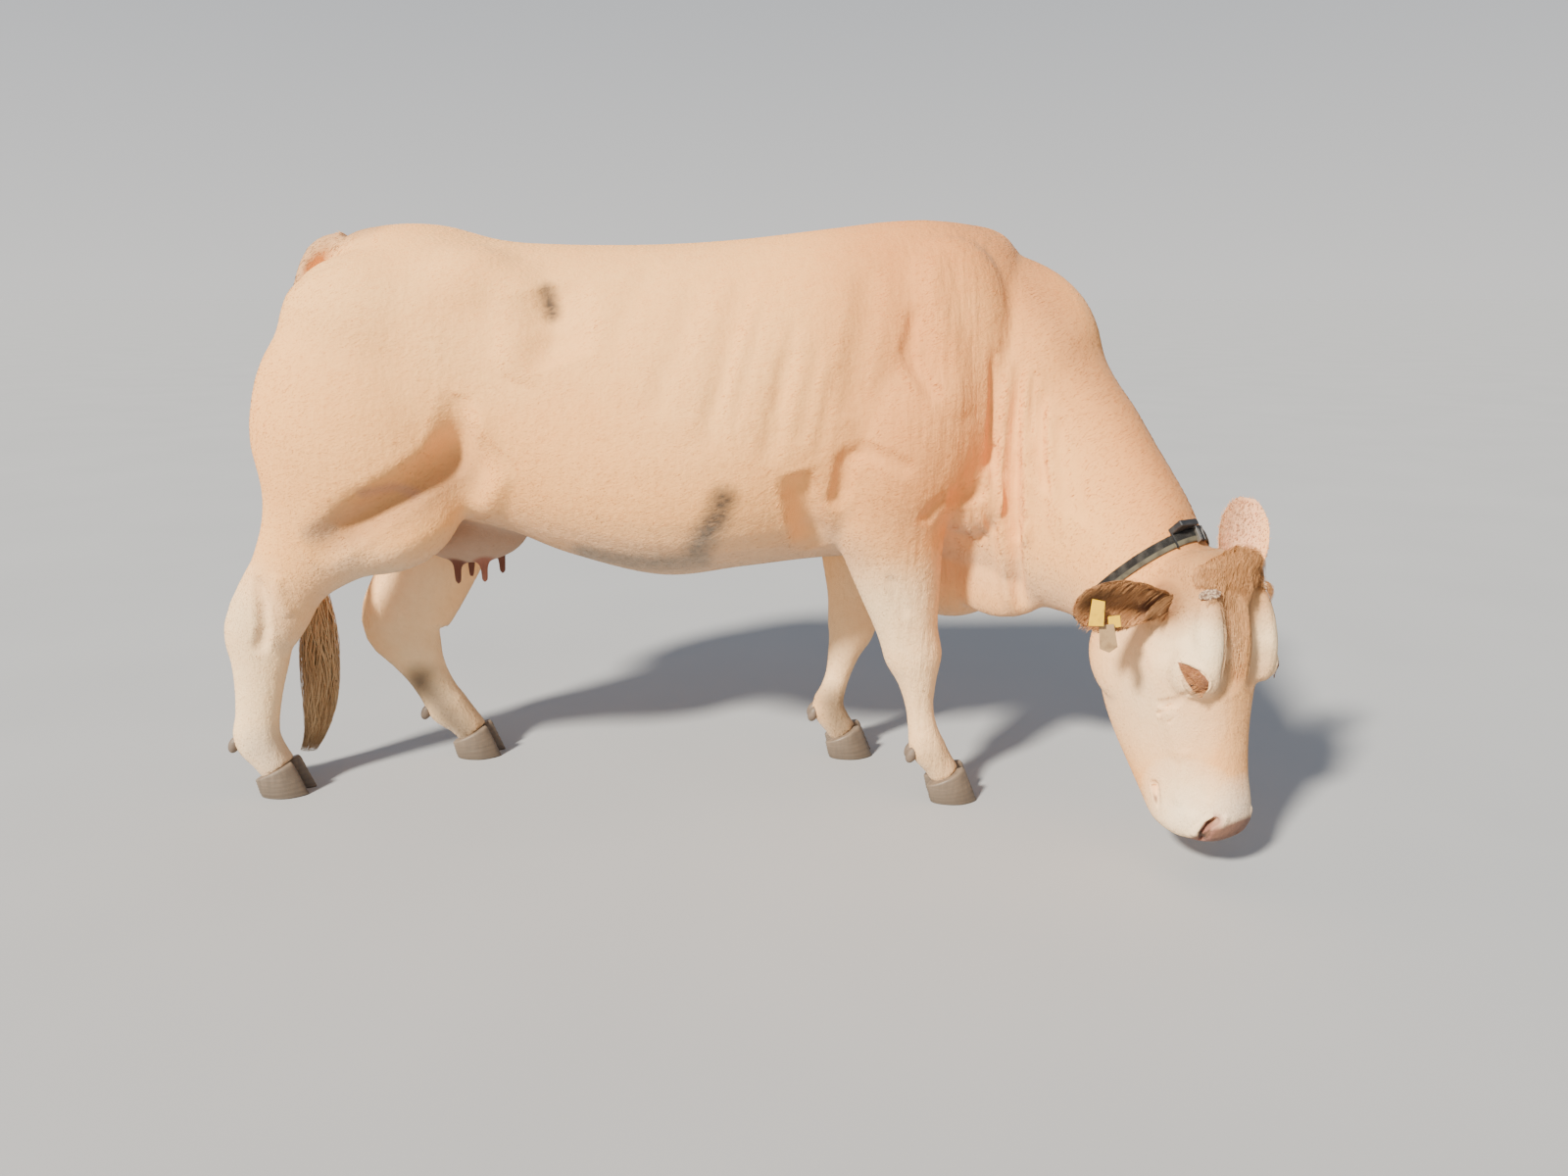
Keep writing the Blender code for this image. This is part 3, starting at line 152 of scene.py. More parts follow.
FORE_RIGHT = (
    (0.30, -0.150, 1.120, 0.15, 0.095),
    (0.29, -0.205, 0.980, 0.185, 0.125),
    (0.26, -0.215, 0.850, 0.180, 0.120),
    (0.250, -0.205, 0.740, 0.146, 0.098),
    (0.265, -0.190, 0.640, 0.122, 0.082),
    (0.285, -0.178, 0.540, 0.100, 0.070),
    (0.305, -0.170, 0.440, 0.078, 0.061),
    (0.322, -0.165, 0.370, 0.074, 0.061),
    (0.332, -0.165, 0.310, 0.052, 0.048),
    (0.340, -0.165, 0.240, 0.038, 0.036),
    (0.350, -0.165, 0.180, 0.041, 0.038),
    (0.362, -0.165, FORE_FETLOCK, 0.049, 0.047),
    (0.390, -0.165, 0.092, 0.042, 0.047),
    (0.410, -0.165, 0.060, 0.042, 0.048),
)
FORE_LEFT = (
    (0.30, 0.150, 1.120, 0.15, 0.095),
    (0.29, 0.205, 0.980, 0.185, 0.125),
    (0.25, 0.215, 0.850, 0.180, 0.120),
    (0.220, 0.205, 0.740, 0.146, 0.098),
    (0.205, 0.190, 0.640, 0.122, 0.082),
    (0.198, 0.170, 0.540, 0.098, 0.070),
    (0.192, 0.155, 0.440, 0.076, 0.061),
    (0.184, 0.145, 0.355, 0.068, 0.059),
    (0.165, 0.135, 0.295, 0.048, 0.047),
    (0.147, 0.130, 0.225, 0.037, 0.036),
    (0.132, 0.130, 0.175, 0.040, 0.038),
    (0.120, 0.130, FORE_FETLOCK, 0.048, 0.047),
    (0.145, 0.130, 0.092, 0.042, 0.047),
    (0.165, 0.130, 0.060, 0.042, 0.048),
)

# Head: distance down the face, forehead side, jaw side, half width, widening to the forehead
HEAD = (
    (-0.020, -0.045, -0.120, 0.055, 0.0),
    (0.005, -0.006, -0.180, 0.100, 0.0),
    (0.070, 0.020, -0.240, 0.124, 0.04),
    (0.150, 0.028, -0.300, 0.136, 0.12),
    (0.230, 0.022, -0.340, 0.138, 0.20),
    (0.310, 0.012, -0.342, 0.120, 0.14),
    (0.390, 0.006, -0.320, 0.102, 0.08),
    (0.470, 0.004, -0.281, 0.092, 0.04),
    (0.535, 0.006, -0.241, 0.096, 0.02),
    (0.580, 0.000, -0.210, 0.098, 0.0),
    (0.608, -0.016, -0.165, 0.082, 0.0),
    (HEAD_LENGTH + 0.004, -0.045, -0.125, 0.045, 0.0),
)

# Masses of flesh or bone on both sides, given for the left: name, centre, half sizes, turn in degrees
BODY_MASSES = (
    ("shoulder", (0.33, 0.175, 1.03), (0.20, 0.115, 0.36), (9, 12, 0)),
    ("point", (0.455, 0.17, 0.80), (0.10, 0.085, 0.12), (0, 0, 0)),
    ("hip", (-0.73, 0.163, 1.235), (0.18, 0.122, 0.125), (20, 0, 0)),
    ("rump", (-0.94, 0.170, 1.15), (0.23, 0.150, 0.20), (0, 8, 0)),
    ("pin", (-1.103, 0.100, 1.20), (0.085, 0.070, 0.095), (0, 0, 0)),
)
HEAD_MASSES = (
    ("brow", (0.168, 0.096, -0.002), (0.112, 0.037, 0.036), (0, 0, 7)),
    ("brow", (0.234, 0.100, -0.008), (0.050, 0.036, 0.034), (0, 0, 0)),
    ("orbit", (0.225, 0.108, -0.040), (0.066, 0.042, 0.056), (0, 0, 0)),
    ("cheek", (0.215, 0.078, -0.225), (0.120, 0.050, 0.105), (0, 0, 0)),
    ("lip", (0.560, 0.052, -0.085), (0.055, 0.045, 0.062), (0, 0, 0)),
    ("ear_root", (0.085, 0.118, -0.085), (0.048, 0.035, 0.042), (0, 0, 0)),
)

# Creases and ridges of the face, in the head's frame and on both sides: points, reach, height
FACE_MARKS = (
    (((0.612, 0.0, -0.118), (0.600, 0.045, -0.126), (0.565, 0.078, -0.140), (0.500, 0.090, -0.158)),
     0.016, -0.010),
    (((0.280, 0.135, -0.030), (0.300, 0.125, -0.070), (0.306, 0.118, -0.105)), 0.018, -0.006),
    (((0.330, 0.112, -0.095), (0.410, 0.098, -0.090)), 0.035, 0.005),
    (((0.110, 0.040, 0.030), (0.180, 0.048, 0.026), (0.255, 0.045, 0.022)), 0.045, -0.012),
    (((0.135, 0.140, -0.070), (0.180, 0.140, -0.085)), 0.050, -0.008),
    (((0.560, 0.088, -0.062), (0.590, 0.080, -0.075)), 0.026, 0.005),
)

# Hollows and ridges of the body, seen from its side: sides, path in x and z, reach, height
BOTH, NEAR, FAR = (-1, 1), (-1,), (1,)
BODY_MARKS = (
    (BOTH, ((-1.150, 1.270), (-1.060, 1.322), (-0.990, 1.350), (-0.930, 1.385)), 0.045, -0.014),
    (BOTH, ((-0.540, 1.260), (-0.515, 1.170), (-0.490, 1.095)), 0.120, -0.026),
    (BOTH, ((-0.606, 1.320), (-0.590, 1.240), (-0.575, 1.165), (-0.610, 1.060)), 0.070, 0.012),
    (BOTH, ((0.190, 1.310), (0.184, 1.208), (0.159, 1.084), (0.143, 0.976)), 0.050, -0.008),
    (BOTH, ((0.316, 1.350), (0.339, 1.216), (0.379, 1.083), (0.402, 0.974)), 0.060, 0.012),
    (BOTH, ((0.303, 1.225), (0.291, 1.172), (0.278, 1.120), (0.306, 1.066), (0.344, 1.012)), 0.028, -0.009),
    (BOTH, ((0.162, 0.912), (0.139, 0.875), (0.131, 0.810), (0.108, 0.763)), 0.034, -0.012),
    (BOTH, ((0.155, 0.915), (0.236, 0.885), (0.292, 0.857)), 0.030, -0.007),
    (BOTH, ((0.030, 0.860), (0.050, 0.780), (0.062, 0.715), (0.080, 0.655)), 0.060, -0.030),
    (BOTH, ((0.376, 0.795), (0.433, 0.792), (0.475, 0.815)), 0.036, -0.016),
    (BOTH, ((0.381, 0.800), (0.345, 0.767), (0.318, 0.729)), 0.026, -0.009),
    (NEAR, ((-0.715, 1.03), (-0.735, 0.96), (-0.77, 0.87), (-0.87, 0.80), (-0.99, 0.73), (-1.12, 0.65)),
     0.060, -0.024),
    (NEAR, ((-0.66, 0.93), (-0.735, 0.860), (-0.82, 0.800), (-0.92, 0.750), (-1.03, 0.695)), 0.100, -0.028),
    (NEAR, ((-0.705, 1.02), (-0.680, 0.93), (-0.655, 0.842), (-0.690, 0.765), (-0.745, 0.715)), 0.050, 0.009),
    (FAR, ((-0.70, 0.95), (-0.74, 0.86), (-0.83, 0.79), (-0.92, 0.72), (-1.00, 0.64)), 0.060, -0.024),
    (NEAR, ((-1.272, 0.590), (-1.262, 0.520), (-1.272, 0.450), (-1.298, 0.380)), 0.026, -0.013),
    (NEAR, ((-1.210, 0.600), (-1.215, 0.540), (-1.200, 0.480)), 0.024, 0.005),
    (FAR, ((-0.985, 0.560), (-0.985, 0.480), (-1.000, 0.400), (-1.005, 0.330)), 0.026, -0.012),
    (NEAR, ((0.248, 0.603), (0.269, 0.543), (0.300, 0.492)), 0.020, -0.005),
    (NEAR, ((0.477, 1.126), (0.478, 1.006), (0.478, 0.894), (0.471, 0.837)), 0.016, -0.009),
    (NEAR, ((0.538, 1.097), (0.530, 0.967), (0.526, 0.853), (0.527, 0.737), (0.548, 0.640), (0.575, 0.500)),
     0.022, -0.014),
    (NEAR, ((0.505, 0.930), (0.502, 0.840), (0.508, 0.740)), 0.016, 0.009),
    (NEAR, ((0.584, 1.034), (0.582, 0.894), (0.596, 0.799)), 0.018, -0.010),
    (NEAR, ((0.558, 0.940), (0.560, 0.799), (0.565, 0.672)), 0.016, 0.009),
    (NEAR, ((0.505, 0.840), (0.514, 0.740), (0.526, 0.660), (0.540, 0.560), (0.556, 0.470)), 0.026, 0.013),
    (NEAR, ((0.560, 0.740), (0.571, 0.640), (0.590, 0.570), (0.615, 0.500)), 0.022, 0.009),
    (BOTH, ((-0.073, 1.300), (-0.128, 1.148), (-0.147, 1.025), (-0.167, 0.908)), 0.045, -0.006),
    (BOTH, ((-0.187, 1.277), (-0.234, 1.131), (-0.292, 0.981)), 0.045, -0.005),
    (BOTH, ((-0.282, 1.320), (-0.337, 1.234), (-0.390, 1.100)), 0.045, -0.004),
    (BOTH, ((0.014, 1.131), (-0.013, 0.998), (-0.040, 0.872)), 0.040, -0.006),
)

# Ear: distance along it, half width, depth of its cup
EAR = (
    (0.000, 0.030, 0.026),
    (0.035, 0.042, 0.032),
    (0.080, 0.058, 0.030),
    (0.125, 0.064, 0.024),
    (0.165, 0.058, 0.016),
    (0.195, 0.042, 0.009),
    (0.215, 0.020, 0.004),
)
EAR_THICKNESS = 0.009
HEAD_PARTS = ("head", "neck", "brow", "orbit", "cheek", "lip", "ear_root", "chin", "ear")
SIDES = (("right", -1), ("left", 1))
# Each ear: its base, which way it points, which way its hollow faces, its length
EAR_PLACES = {
    "right": ((0.800, -0.552, 0.613), (-0.225, -0.100, 0.020), (0.10, -0.92, -0.25), 0.228),
    "left": ((1.010, -0.398, 0.600), (0.040, 0.070, 0.215), (0.10, -0.95, 0.30), 0.217),
}

# The left eye, in the head's frame: middle and radius of its ball, the way it looks, and the long axis
# of its opening, from the rear corner to the front one
EYE_PLACE = (0.244, 0.127, -0.015)
EYE_RADIUS = 0.026
EYE_OUT = (-0.05, 0.82, 0.55)
EYE_ALONG = (0.85, -0.26, 0.458)

# Udder: its middle and half sizes
UDDER_CENTRE = (-0.800, 0.0, 0.665)
UDDER_SIZES = (0.150, 0.110, 0.090)
# Teats: x, y and the height of the tip
TEATS = ((-0.829, -0.045, 0.522), (-0.818, 0.045, 0.518), (-0.760, -0.050, 0.527), (-0.738, 0.050, 0.526))

# Tail: middle of each station, then half size fore and aft, and across
DOCK = (
    (-1.050, 0.0, 1.368, 0.030, 0.040),
    (-1.120, 0.0, 1.336, 0.036, 0.040),
    (-1.172, 0.0, 1.240, 0.030, 0.032),
    (-1.205, 0.0, 1.100, 0.022, 0.024),
    (-1.225, 0.0, 0.900, 0.018, 0.020),
    (-1.230, 0.0, 0.700, 0.016, 0.018),
    (-1.215, 0.0, 0.560, 0.018, 0.018),
)
SWITCH = (
    (-1.217, 0.0, 0.580, 0.018, 0.020),
    (-1.212, 0.0, 0.500, 0.022, 0.022),
    (-1.216, 0.0, 0.400, 0.030, 0.026),
    (-1.222, 0.0, 0.300, 0.032, 0.026),
    (-1.232, 0.0, 0.200, 0.026, 0.022),
    (-1.250, 0.0, 0.120, 0.014, 0.014),
    (-1.275, 0.0, 0.070, 0.004, 0.004),
)

# Leaf-shaped hollow of the lids and the slit in it: distance along, upper edge, lower edge
LEAF = ((-0.052, -0.008, -0.008), (-0.035, 0.007, -0.012), (-0.015, 0.019, -0.014),
        (0.002, 0.023, -0.013), (0.016, 0.021, -0.012), (0.027, 0.012, -0.010), (0.034, -0.006, -0.006))
SLIT = ((-0.022, -0.0065, -0.0065), (-0.012, -0.002, -0.0105), (0.000, 0.000, -0.0120),
        (0.012, -0.001, -0.0110), (0.0225, -0.0065, -0.0065))
# Nose pad: middle and half sizes, in the head's frame
NOSE_PAD = (np.array((0.614, 0.0, -0.052)), np.array((0.068, 0.092, 0.078)))

# Making of the skin: cells of the body's and of the head's, rounds of smoothing behind the neck
VOXEL = 0.007
HEAD_VOXEL = 0.003
EASING_ROUNDS = 60
SKIN_SHARE = 0.53       # share of the skin's triangles that is kept, for a model under 2 million
SEAM = 0.006            # overlap of the head's and the body's skin under the collar
COAT_DEPTH = 0.003      # how far the skin lies inside the solids

# Finer creases of the near side's skin, as in BODY_MARKS
FINE_MARKS = (
    (NEAR, ((0.490, 1.10), (0.486, 0.98), (0.490, 0.88), (0.485, 0.80)), 0.010, -0.005),
    (NEAR, ((0.512, 1.12), (0.505, 0.99), (0.500, 0.90)), 0.012, 0.005),
    (NEAR, ((0.552, 1.09), (0.548, 0.97), (0.545, 0.86), (0.548, 0.74)), 0.011, 0.006),
    (NEAR, ((0.566, 1.08), (0.560, 0.94), (0.562, 0.82)), 0.010, -0.006),
    (NEAR, ((0.535, 0.894), (0.545, 0.799), (0.545, 0.672)), 0.012, -0.007),
    (NEAR, ((0.600, 1.02), (0.598, 0.90), (0.612, 0.80), (0.625, 0.70)), 0.014, 0.005),
    (NEAR, ((0.620, 0.98), (0.622, 0.88), (0.640, 0.76)), 0.014, -0.006),
    (NEAR, ((0.650, 0.93), (0.655, 0.84), (0.672, 0.74)), 0.016, -0.004),
    (NEAR, ((0.455, 0.800), (0.475, 0.740), (0.500, 0.690)), 0.010, -0.005),
    (NEAR, ((0.435, 0.775), (0.452, 0.715), (0.480, 0.665)), 0.010, -0.005),
    (NEAR, ((0.415, 0.755), (0.430, 0.695), (0.455, 0.640)), 0.010, -0.004),
    (NEAR, ((-0.10, 1.20), (-0.13, 1.08), (-0.17, 0.96)), 0.014, -0.003),
    (NEAR, ((-0.04, 1.24), (-0.075, 1.10), (-0.115, 0.95)), 0.014, -0.003),
    (NEAR, ((0.03, 1.20), (0.00, 1.08), (-0.02, 0.97)), 0.014, -0.003),
    (NEAR, ((0.08, 1.15), (0.055, 1.03), (0.035, 0.92)), 0.014, -0.003),
    (NEAR, ((0.12, 1.10), (0.095, 0.99), (0.075, 0.88)), 0.014, -0.003),
    (BOTH, ((-1.297, 0.614), (-1.346, 0.548), (-1.375, 0.490)), 0.014, 0.004),
    (NEAR, ((-1.159, 1.284), (-1.112, 1.314), (-1.057, 1.327), (-0.992, 1.349)), 0.020, -0.007),
)
MOUTH = ((0.618, 0.0, -0.122), (0.604, 0.045, -0.130), (0.572, 0.078, -0.146), (0.505, 0.090, -0.165))
NOSTRIL = ((0.561, 0.065, -0.022), (0.570, 0.075, -0.032), (0.588, 0.077, -0.046), (0.606, 0.064, -0.058))
# Finer creases of the face, as in FACE_MARKS, with the mouth and the nostrils
FINE_FACE_MARKS = (
    (((0.284, 0.128, -0.030), (0.296, 0.130, -0.058), (0.312, 0.122, -0.090), (0.330, 0.115, -0.120)),
     0.008, -0.005),
    (((0.300, 0.126, -0.030), (0.318, 0.122, -0.062), (0.345, 0.112, -0.095)), 0.007, -0.003),
    (((0.280, 0.128, -0.012), (0.284, 0.110, 0.012), (0.282, 0.085, 0.026)), 0.008, -0.005),
    (((0.215, 0.096, 0.040), (0.245, 0.094, 0.038), (0.276, 0.092, 0.024)), 0.006, -0.004),
    (((0.220, 0.084, 0.036), (0.250, 0.080, 0.034), (0.278, 0.076, 0.022)), 0.006, -0.003),
    (((0.350, 0.090, -0.020), (0.430, 0.084, -0.020), (0.500, 0.086, -0.030)), 0.025, -0.003),
    (((0.420, 0.094, -0.070), (0.470, 0.090, -0.085), (0.520, 0.092, -0.095)), 0.020, 0.003),
    (((0.548, 0.082, -0.022), (0.566, 0.092, -0.040), (0.590, 0.084, -0.060)), 0.012, 0.005),
    (((0.556, 0.046, -0.010), (0.580, 0.050, -0.022), (0.600, 0.046, -0.040)), 0.014, 0.004),
    (((0.600, 0.0, -0.010), (0.616, 0.0, -0.045), (0.618, 0.0, -0.090)), 0.006, -0.002),
    (MOUTH, 0.007, -0.009),
    (NOSTRIL, 0.012, -0.024),
)
# Colours of the coat and skin, and of painted shade and highlight, as they are in linear light
CREAM = (1.00, 0.50, 0.170)
PALE = (0.95, 0.71, 0.43)
WHITE = (0.98, 0.83, 0.58)
PINK = (0.20, 0.10, 0.066)
BAG = (0.42, 0.27, 0.18)
MUD = (0.10, 0.075, 0.055)
DIRT = (0.115, 0.078, 0.052)
# Painted shade in the openings of the nostrils
NOSTRIL_SHADE = (0.05, 0.03, 0.022)
DARK_TEAT = (0.15, 0.055, 0.035)
PALE_TEAT = (0.30, 0.12, 0.08)
UNDERSIDE = (0.62, 0.50, 0.38)
# Painted highlight on the pink inner rims of the nostrils
NOSTRIL_RIM_HIGHLIGHT = (0.46, 0.20, 0.15)
MOUTH_LINE = (0.20, 0.09, 0.06)
# Painted shade deep in the hollows of the ears
EAR_HOLLOW_SHADE = (0.20, 0.10, 0.06)
LID = (0.30, 0.13, 0.065)
LID_RIM = (0.15, 0.05, 0.035)
# The hollow of each ear: its colour, and where the painted shade in it is darkest
EAR_PAINT = {
    "right": ((0.42, 0.20, 0.08), 0.12, (0, 0, 0)),
    "left": ((0.90, 0.50, 0.29), 0.22, (-0.045, 0, 0)),
}
# Long hair: colour of its roots and of its tips. The brush has a dark and a light one of each
POLL_TINTS = ((0.40, 0.17, 0.05), (0.64, 0.32, 0.12))
FACE_TINTS = ((0.50, 0.24, 0.09), (0.70, 0.40, 0.18))
EAR_TINTS = {
    "right": ((0.40, 0.19, 0.075), (0.62, 0.33, 0.145)),
    "left": ((0.84, 0.44, 0.24), (0.92, 0.54, 0.32)),
}
LASH_TINTS = ((0.42, 0.17, 0.06), (0.60, 0.29, 0.12))
BRUSH_TINTS = (((0.46, 0.26, 0.11), (0.72, 0.50, 0.27)), ((0.30, 0.16, 0.07), (0.64, 0.45, 0.25)))

NECK_CREST = ((0.45, 1.41), (0.56, 1.30), (0.66, 1.13), (0.778, 0.99), (0.841, 0.87), (0.885, 0.76),
              (0.92, 0.67))
TAIL_HEAD = ((-1.17, 1.28), (-1.10, 1.35), (-1.00, 1.39))
# Where the coat's colour changes, and painted shade in the near flank's pit: sides, path in x and z, reach,
# colour, strength
BODY_PAINT = (
    (BOTH, ((-1.12, 1.30), (-0.60, 1.20), (-0.30, 1.25), (-0.20, 1.10)), 0.34, (0.98, 0.55, 0.22), 0.6),
    (BOTH, ((0.28, 1.32), (0.30, 1.05), (0.30, 0.85)), 0.30, (0.72, 0.285, 0.085), 0.75),
    (BOTH, NECK_CREST, 0.20, (0.62, 0.25, 0.075), 0.80),
    (BOTH, NECK_CREST, 0.07, (0.50, 0.23, 0.09), 0.55),
    (BOTH, ((0.40, 0.60), (0.60, 0.56), (0.75, 0.55)), 0.12, (0.72, 0.46, 0.27), 0.4),
    (BOTH, ((-0.45, 0.62), (-0.10, 0.60), (0.15, 0.64)), 0.10, (0.62, 0.40, 0.23), 0.5),
    (BOTH, ((-1.19, 1.27), (-1.13, 1.345), (-1.06, 1.390), (-0.96, 1.415)), 0.060, (0.56, 0.32, 0.16), 0.85),
    # A small dark patch in the hollow before the hip bone
    (BOTH, ((-0.53, 1.250), (-0.52, 1.205)), 0.034, DIRT, 0.9),
    # Painted shade in the pit between the near thigh and the flank, and a narrower band of it higher up
    (NEAR, ((-1.05, 0.70), (-0.94, 0.76), (-0.84, 0.80), (-0.755, 0.85)), 0.095, (0.42, 0.21, 0.095), 0.70),
    (NEAR, ((-0.956, 0.807), (-0.895, 0.816), (-0.854, 0.798)), 0.022, (0.50, 0.26, 0.17), 0.6),
    (NEAR, ((-0.135, 0.80), (-0.15, 0.76), (-0.18, 0.71), (-0.20, 0.665)), 0.055, DIRT, 0.92),
    (NEAR, ((-0.48, 0.640), (-0.35, 0.625), (-0.20, 0.630)), 0.050, DIRT, 0.85),
    (BOTH, ((-1.33, 0.46), (-1.34, 0.30), (-1.34, 0.10)), 0.24, PALE, 0.85),
    (BOTH, ((-0.97, 0.52), (-1.02, 0.38), (-0.92, 0.10)), 0.20, PALE, 0.85),
    (BOTH, ((0.29, 0.52), (0.34, 0.30), (0.38, 0.10)), 0.17, PALE, 0.70),
    (BOTH, ((0.20, 0.52), (0.14, 0.28), (0.15, 0.10)), 0.15, PALE, 0.70),
    (NEAR, ((-1.32, 0.12), (-1.29, 0.07)), 0.10, (0.52, 0.44, 0.34), 0.6),
    (FAR, ((-0.99, 0.22), (-0.93, 0.14), (-0.88, 0.07)), 0.075, MUD, 0.85),
    (FAR, ((0.13, 0.16), (0.16, 0.07)), 0.075, MUD, 0.75),
    (NEAR, ((0.37, 0.12), (0.40, 0.07)), 0.075, MUD, 0.35),
)
# Round spots of colour on the head, painted highlights and shade among them, in its frame: place, reach,
# colour, strength, both sides or middle
FACE_PAINT = (
    ((0.42, 0.0, 0.02), 0.17, (0.84, 0.44, 0.20), 0.45),
    ((0.33, 0.10, -0.02), 0.10, (0.84, 0.44, 0.20), 0.35),
    # Pale coat of the brow and of the cheek, brightened further as painted highlights
    ((0.17, 0.12, 0.00), 0.11, (0.99, 0.84, 0.57), 0.85),
    ((0.30, 0.13, -0.16), 0.17, (0.98, 0.76, 0.49), 0.70),
    ((0.56, 0.09, -0.08), 0.12, WHITE, 0.85),
    ((0.54, 0.0, 0.01), 0.07, (0.92, 0.76, 0.58), 0.7),
    ((0.60, 0.0, -0.15), 0.09, WHITE, 0.6),
    ((0.03, 0.0, 0.02), 0.14, (0.50, 0.25, 0.10), 0.95),
    ((0.01, 0.08, 0.0), 0.10, (0.56, 0.29, 0.12), 0.75),
    ((0.12, 0.0, 0.02), 0.06, (0.56, 0.31, 0.14), 0.8),
    # Painted shade on the inner slope of each brow, towards the middle of the face
    ((0.24, 0.045, 0.020), 0.058, (0.40, 0.22, 0.11), 0.60),
)

# The short coat: size of a tuft's patch on the coat's map, how many tufts, and how many in a piece
SEED = 5
PATCH = 0.003
TUFTS = 222000
TUFTS_A_PIECE = 48000
# Long hair: how many locks, their length, width, stand over the skin
LOCK_RINGS = 5
POLL_HAIR = (7800, 0.062, 0.0014, 0.044)
FACE_HAIR = (1500, 0.110, 0.0014, 0.005)
EAR_HAIR = (3500, 0.052, 0.0013, 0.004)
# Lashes: how many for each eye, their length and width
LASHES = (420, 0.020, 0.0007)
# The tail's brush: how many locks, their width, rings of each
BRUSH_HAIR = (1100, 0.0042, 10)

# The collar
STRAP_MIDDLE = -0.038           # of the collar, measured forward from the cut behind the poll
STRAP_WIDTH = 0.028
# What is on the strap: steps from the buckle, half length, half width of the strap, height
KEEPERS = (("bar", 6.6, 0.45, 1.30, 0.012), ("keeper_1", 8.8, 0.75, 1.22, 0.010),
           ("keeper_2", 11.6, 0.75, 1.22, 0.010), ("hook", -6.4, 0.35, 1.2, 0.009))

# Flakes of a horn scar: place down the face and across it, half sizes, turn and tilt in degrees
FLAKES = (
    (0.038, 0.116, (0.013, 0.022, 0.007), 10, 0),
    (0.046, 0.124, (0.004, 0.022, 0.003), -8, 14),
    (0.034, 0.106, (0.012, 0.005, 0.004), 12, -10),
    (0.040, 0.114, (0.014, 0.004, 0.004), 5, 8),
    (0.046, 0.104, (0.009, 0.004, 0.004), -20, 0),
    (0.030, 0.122, (0.004, 0.012, 0.003), 18, -12),
)

# Hooves, in metres, and their levels: height, shift forward, share of the full width
CORONET_FRONT = 0.085
CORONET_HEEL = 0.048
CLAW_LENGTH = 0.118
CLAW_WIDTH = 0.056
TOE_SPLIT = 0.006
CLAW_LEVELS = ((0, 0.020, 1.0), (0.010, 0.016, 1.0), (0.055, 0.002, 0.93), (0.10, -0.012, 0.86))
FEET = (("near_hind", -1, HIND_RIGHT), ("far_hind", 1, HIND_LEFT), ("near_fore", -1, FORE_RIGHT),
        ("far_fore", 1, FORE_LEFT))

# The camera's lens in millimetres, its pitch in degrees and its place, and the light
LENS, PITCH, CAMERA = 27.05, 14.1, Vector((0, -2.96, 1.25))
SKY = ((0.01, (1.0, 0.985, 0.96)), (0.45, (0.42, 0.47, 0.55)))
SKY_STRENGTH = 0.90
FLOOR_TONES = ((0.392, 0.398, 0.410), (0.412, 0.418, 0.430))
KEY_ENERGY = 9.3
KEY_SPREAD = math.radians(7)
KEY_COLOUR = (1.0, 0.94, 0.82)
KEY_WAY = (3.7, 4.4, -4.3)


def new_object(name, data, collection=None):
    """An object of the mesh, light or camera, in the collection given or else in the scene."""
    made = bpy.data.objects.new(name, data)
    (collection or bpy.context.scene.collection).objects.link(made)
    return made


def object_of(name, bm, collection=None):
    """An object of what bm holds."""
    mesh = bpy.data.meshes.new(name)
    bm.to_mesh(mesh)
    bm.free()
    return new_object(name, mesh, collection)


def opened(thing):
    """A thing's mesh for changing, and the middle of each of its faces."""
    bm = bmesh.new()
    bm.from_mesh(thing.data)
    bm.faces.ensure_lookup_table()
    return bm, np.array([face.calc_center_median() for face in bm.faces])


def put_back(bm, thing):
    bm.to_mesh(thing.data)
    bm.free()


def turned_out(thing, soft=True, weld=0.0):
    """Turns a thing's faces outwards, smooth or flat, once its points this close are one."""
    bm, _ = opened(thing)
    if weld:
        bmesh.ops.remove_doubles(bm, verts=bm.verts, dist=weld)
    bmesh.ops.recalc_face_normals(bm, faces=bm.faces)
    for face in bm.faces:
        face.smooth = soft
    put_back(bm, thing)
    return thing


def smooth_path(stations, step=RING_STEP):
    """Stations of a loft, filled in on a smooth curve so that its rings are a step apart."""
    rows = np.array(stations, float)
    ends = np.vstack([2 * rows[0] - rows[1], rows, 2 * rows[-1] - rows[-2]])
    filled = []
    for i in range(len(rows) - 1):
        before, start, end, after = ends[i : i + 4]
        steps = max(1, math.ceil(np.linalg.norm((end - start)[:3]) / step))
        for t in np.arange(steps) / steps:
            filled.append(
                0.5 * (2 * start + (end - before) * t
                       + (2 * before - 5 * start + 4 * end - after) * t ** 2
                       + (3 * start - before - 3 * end + after) * t ** 3)
            )
    filled.append(rows[-1])
    return np.array(filled)


def loft(name, rings, collection=None):
    """A closed skin over rings, each a list of the same number of points."""
    bm = bmesh.new()
    rows = [[bm.verts.new(point) for point in ring] for ring in rings]
    for lower, upper in zip(rows, rows[1:]):
        for i in range(len(lower)):
            j = (i + 1) % len(lower)
            bm.faces.new((lower[i], lower[j], upper[j], upper[i]))
    bm.faces.new(rows[0][::-1])
    bm.faces.new(rows[-1])
    bmesh.ops.recalc_face_normals(bm, faces=bm.faces)
    return object_of(name, bm, collection)


def section(centre, out, side, depth, width, lean=0.0, square=2.0, sides=RING_SIDES):
    """A ring of a loft: depth is its half size along out, width along side.
    lean widens it towards out, and square is 2 for an ellipse, more for a boxier ring."""
    ring = []
    for k in range(sides):
        turn = 2 * math.pi * k / sides
        up = math.copysign(abs(math.cos(turn)) ** (2 / square), math.cos(turn))
        across = math.copysign(abs(math.sin(turn)) ** (2 / square), math.sin(turn))
        ring.append(centre + out * (depth * up) + side * (width * across * (1 + lean * up)))
    return ring


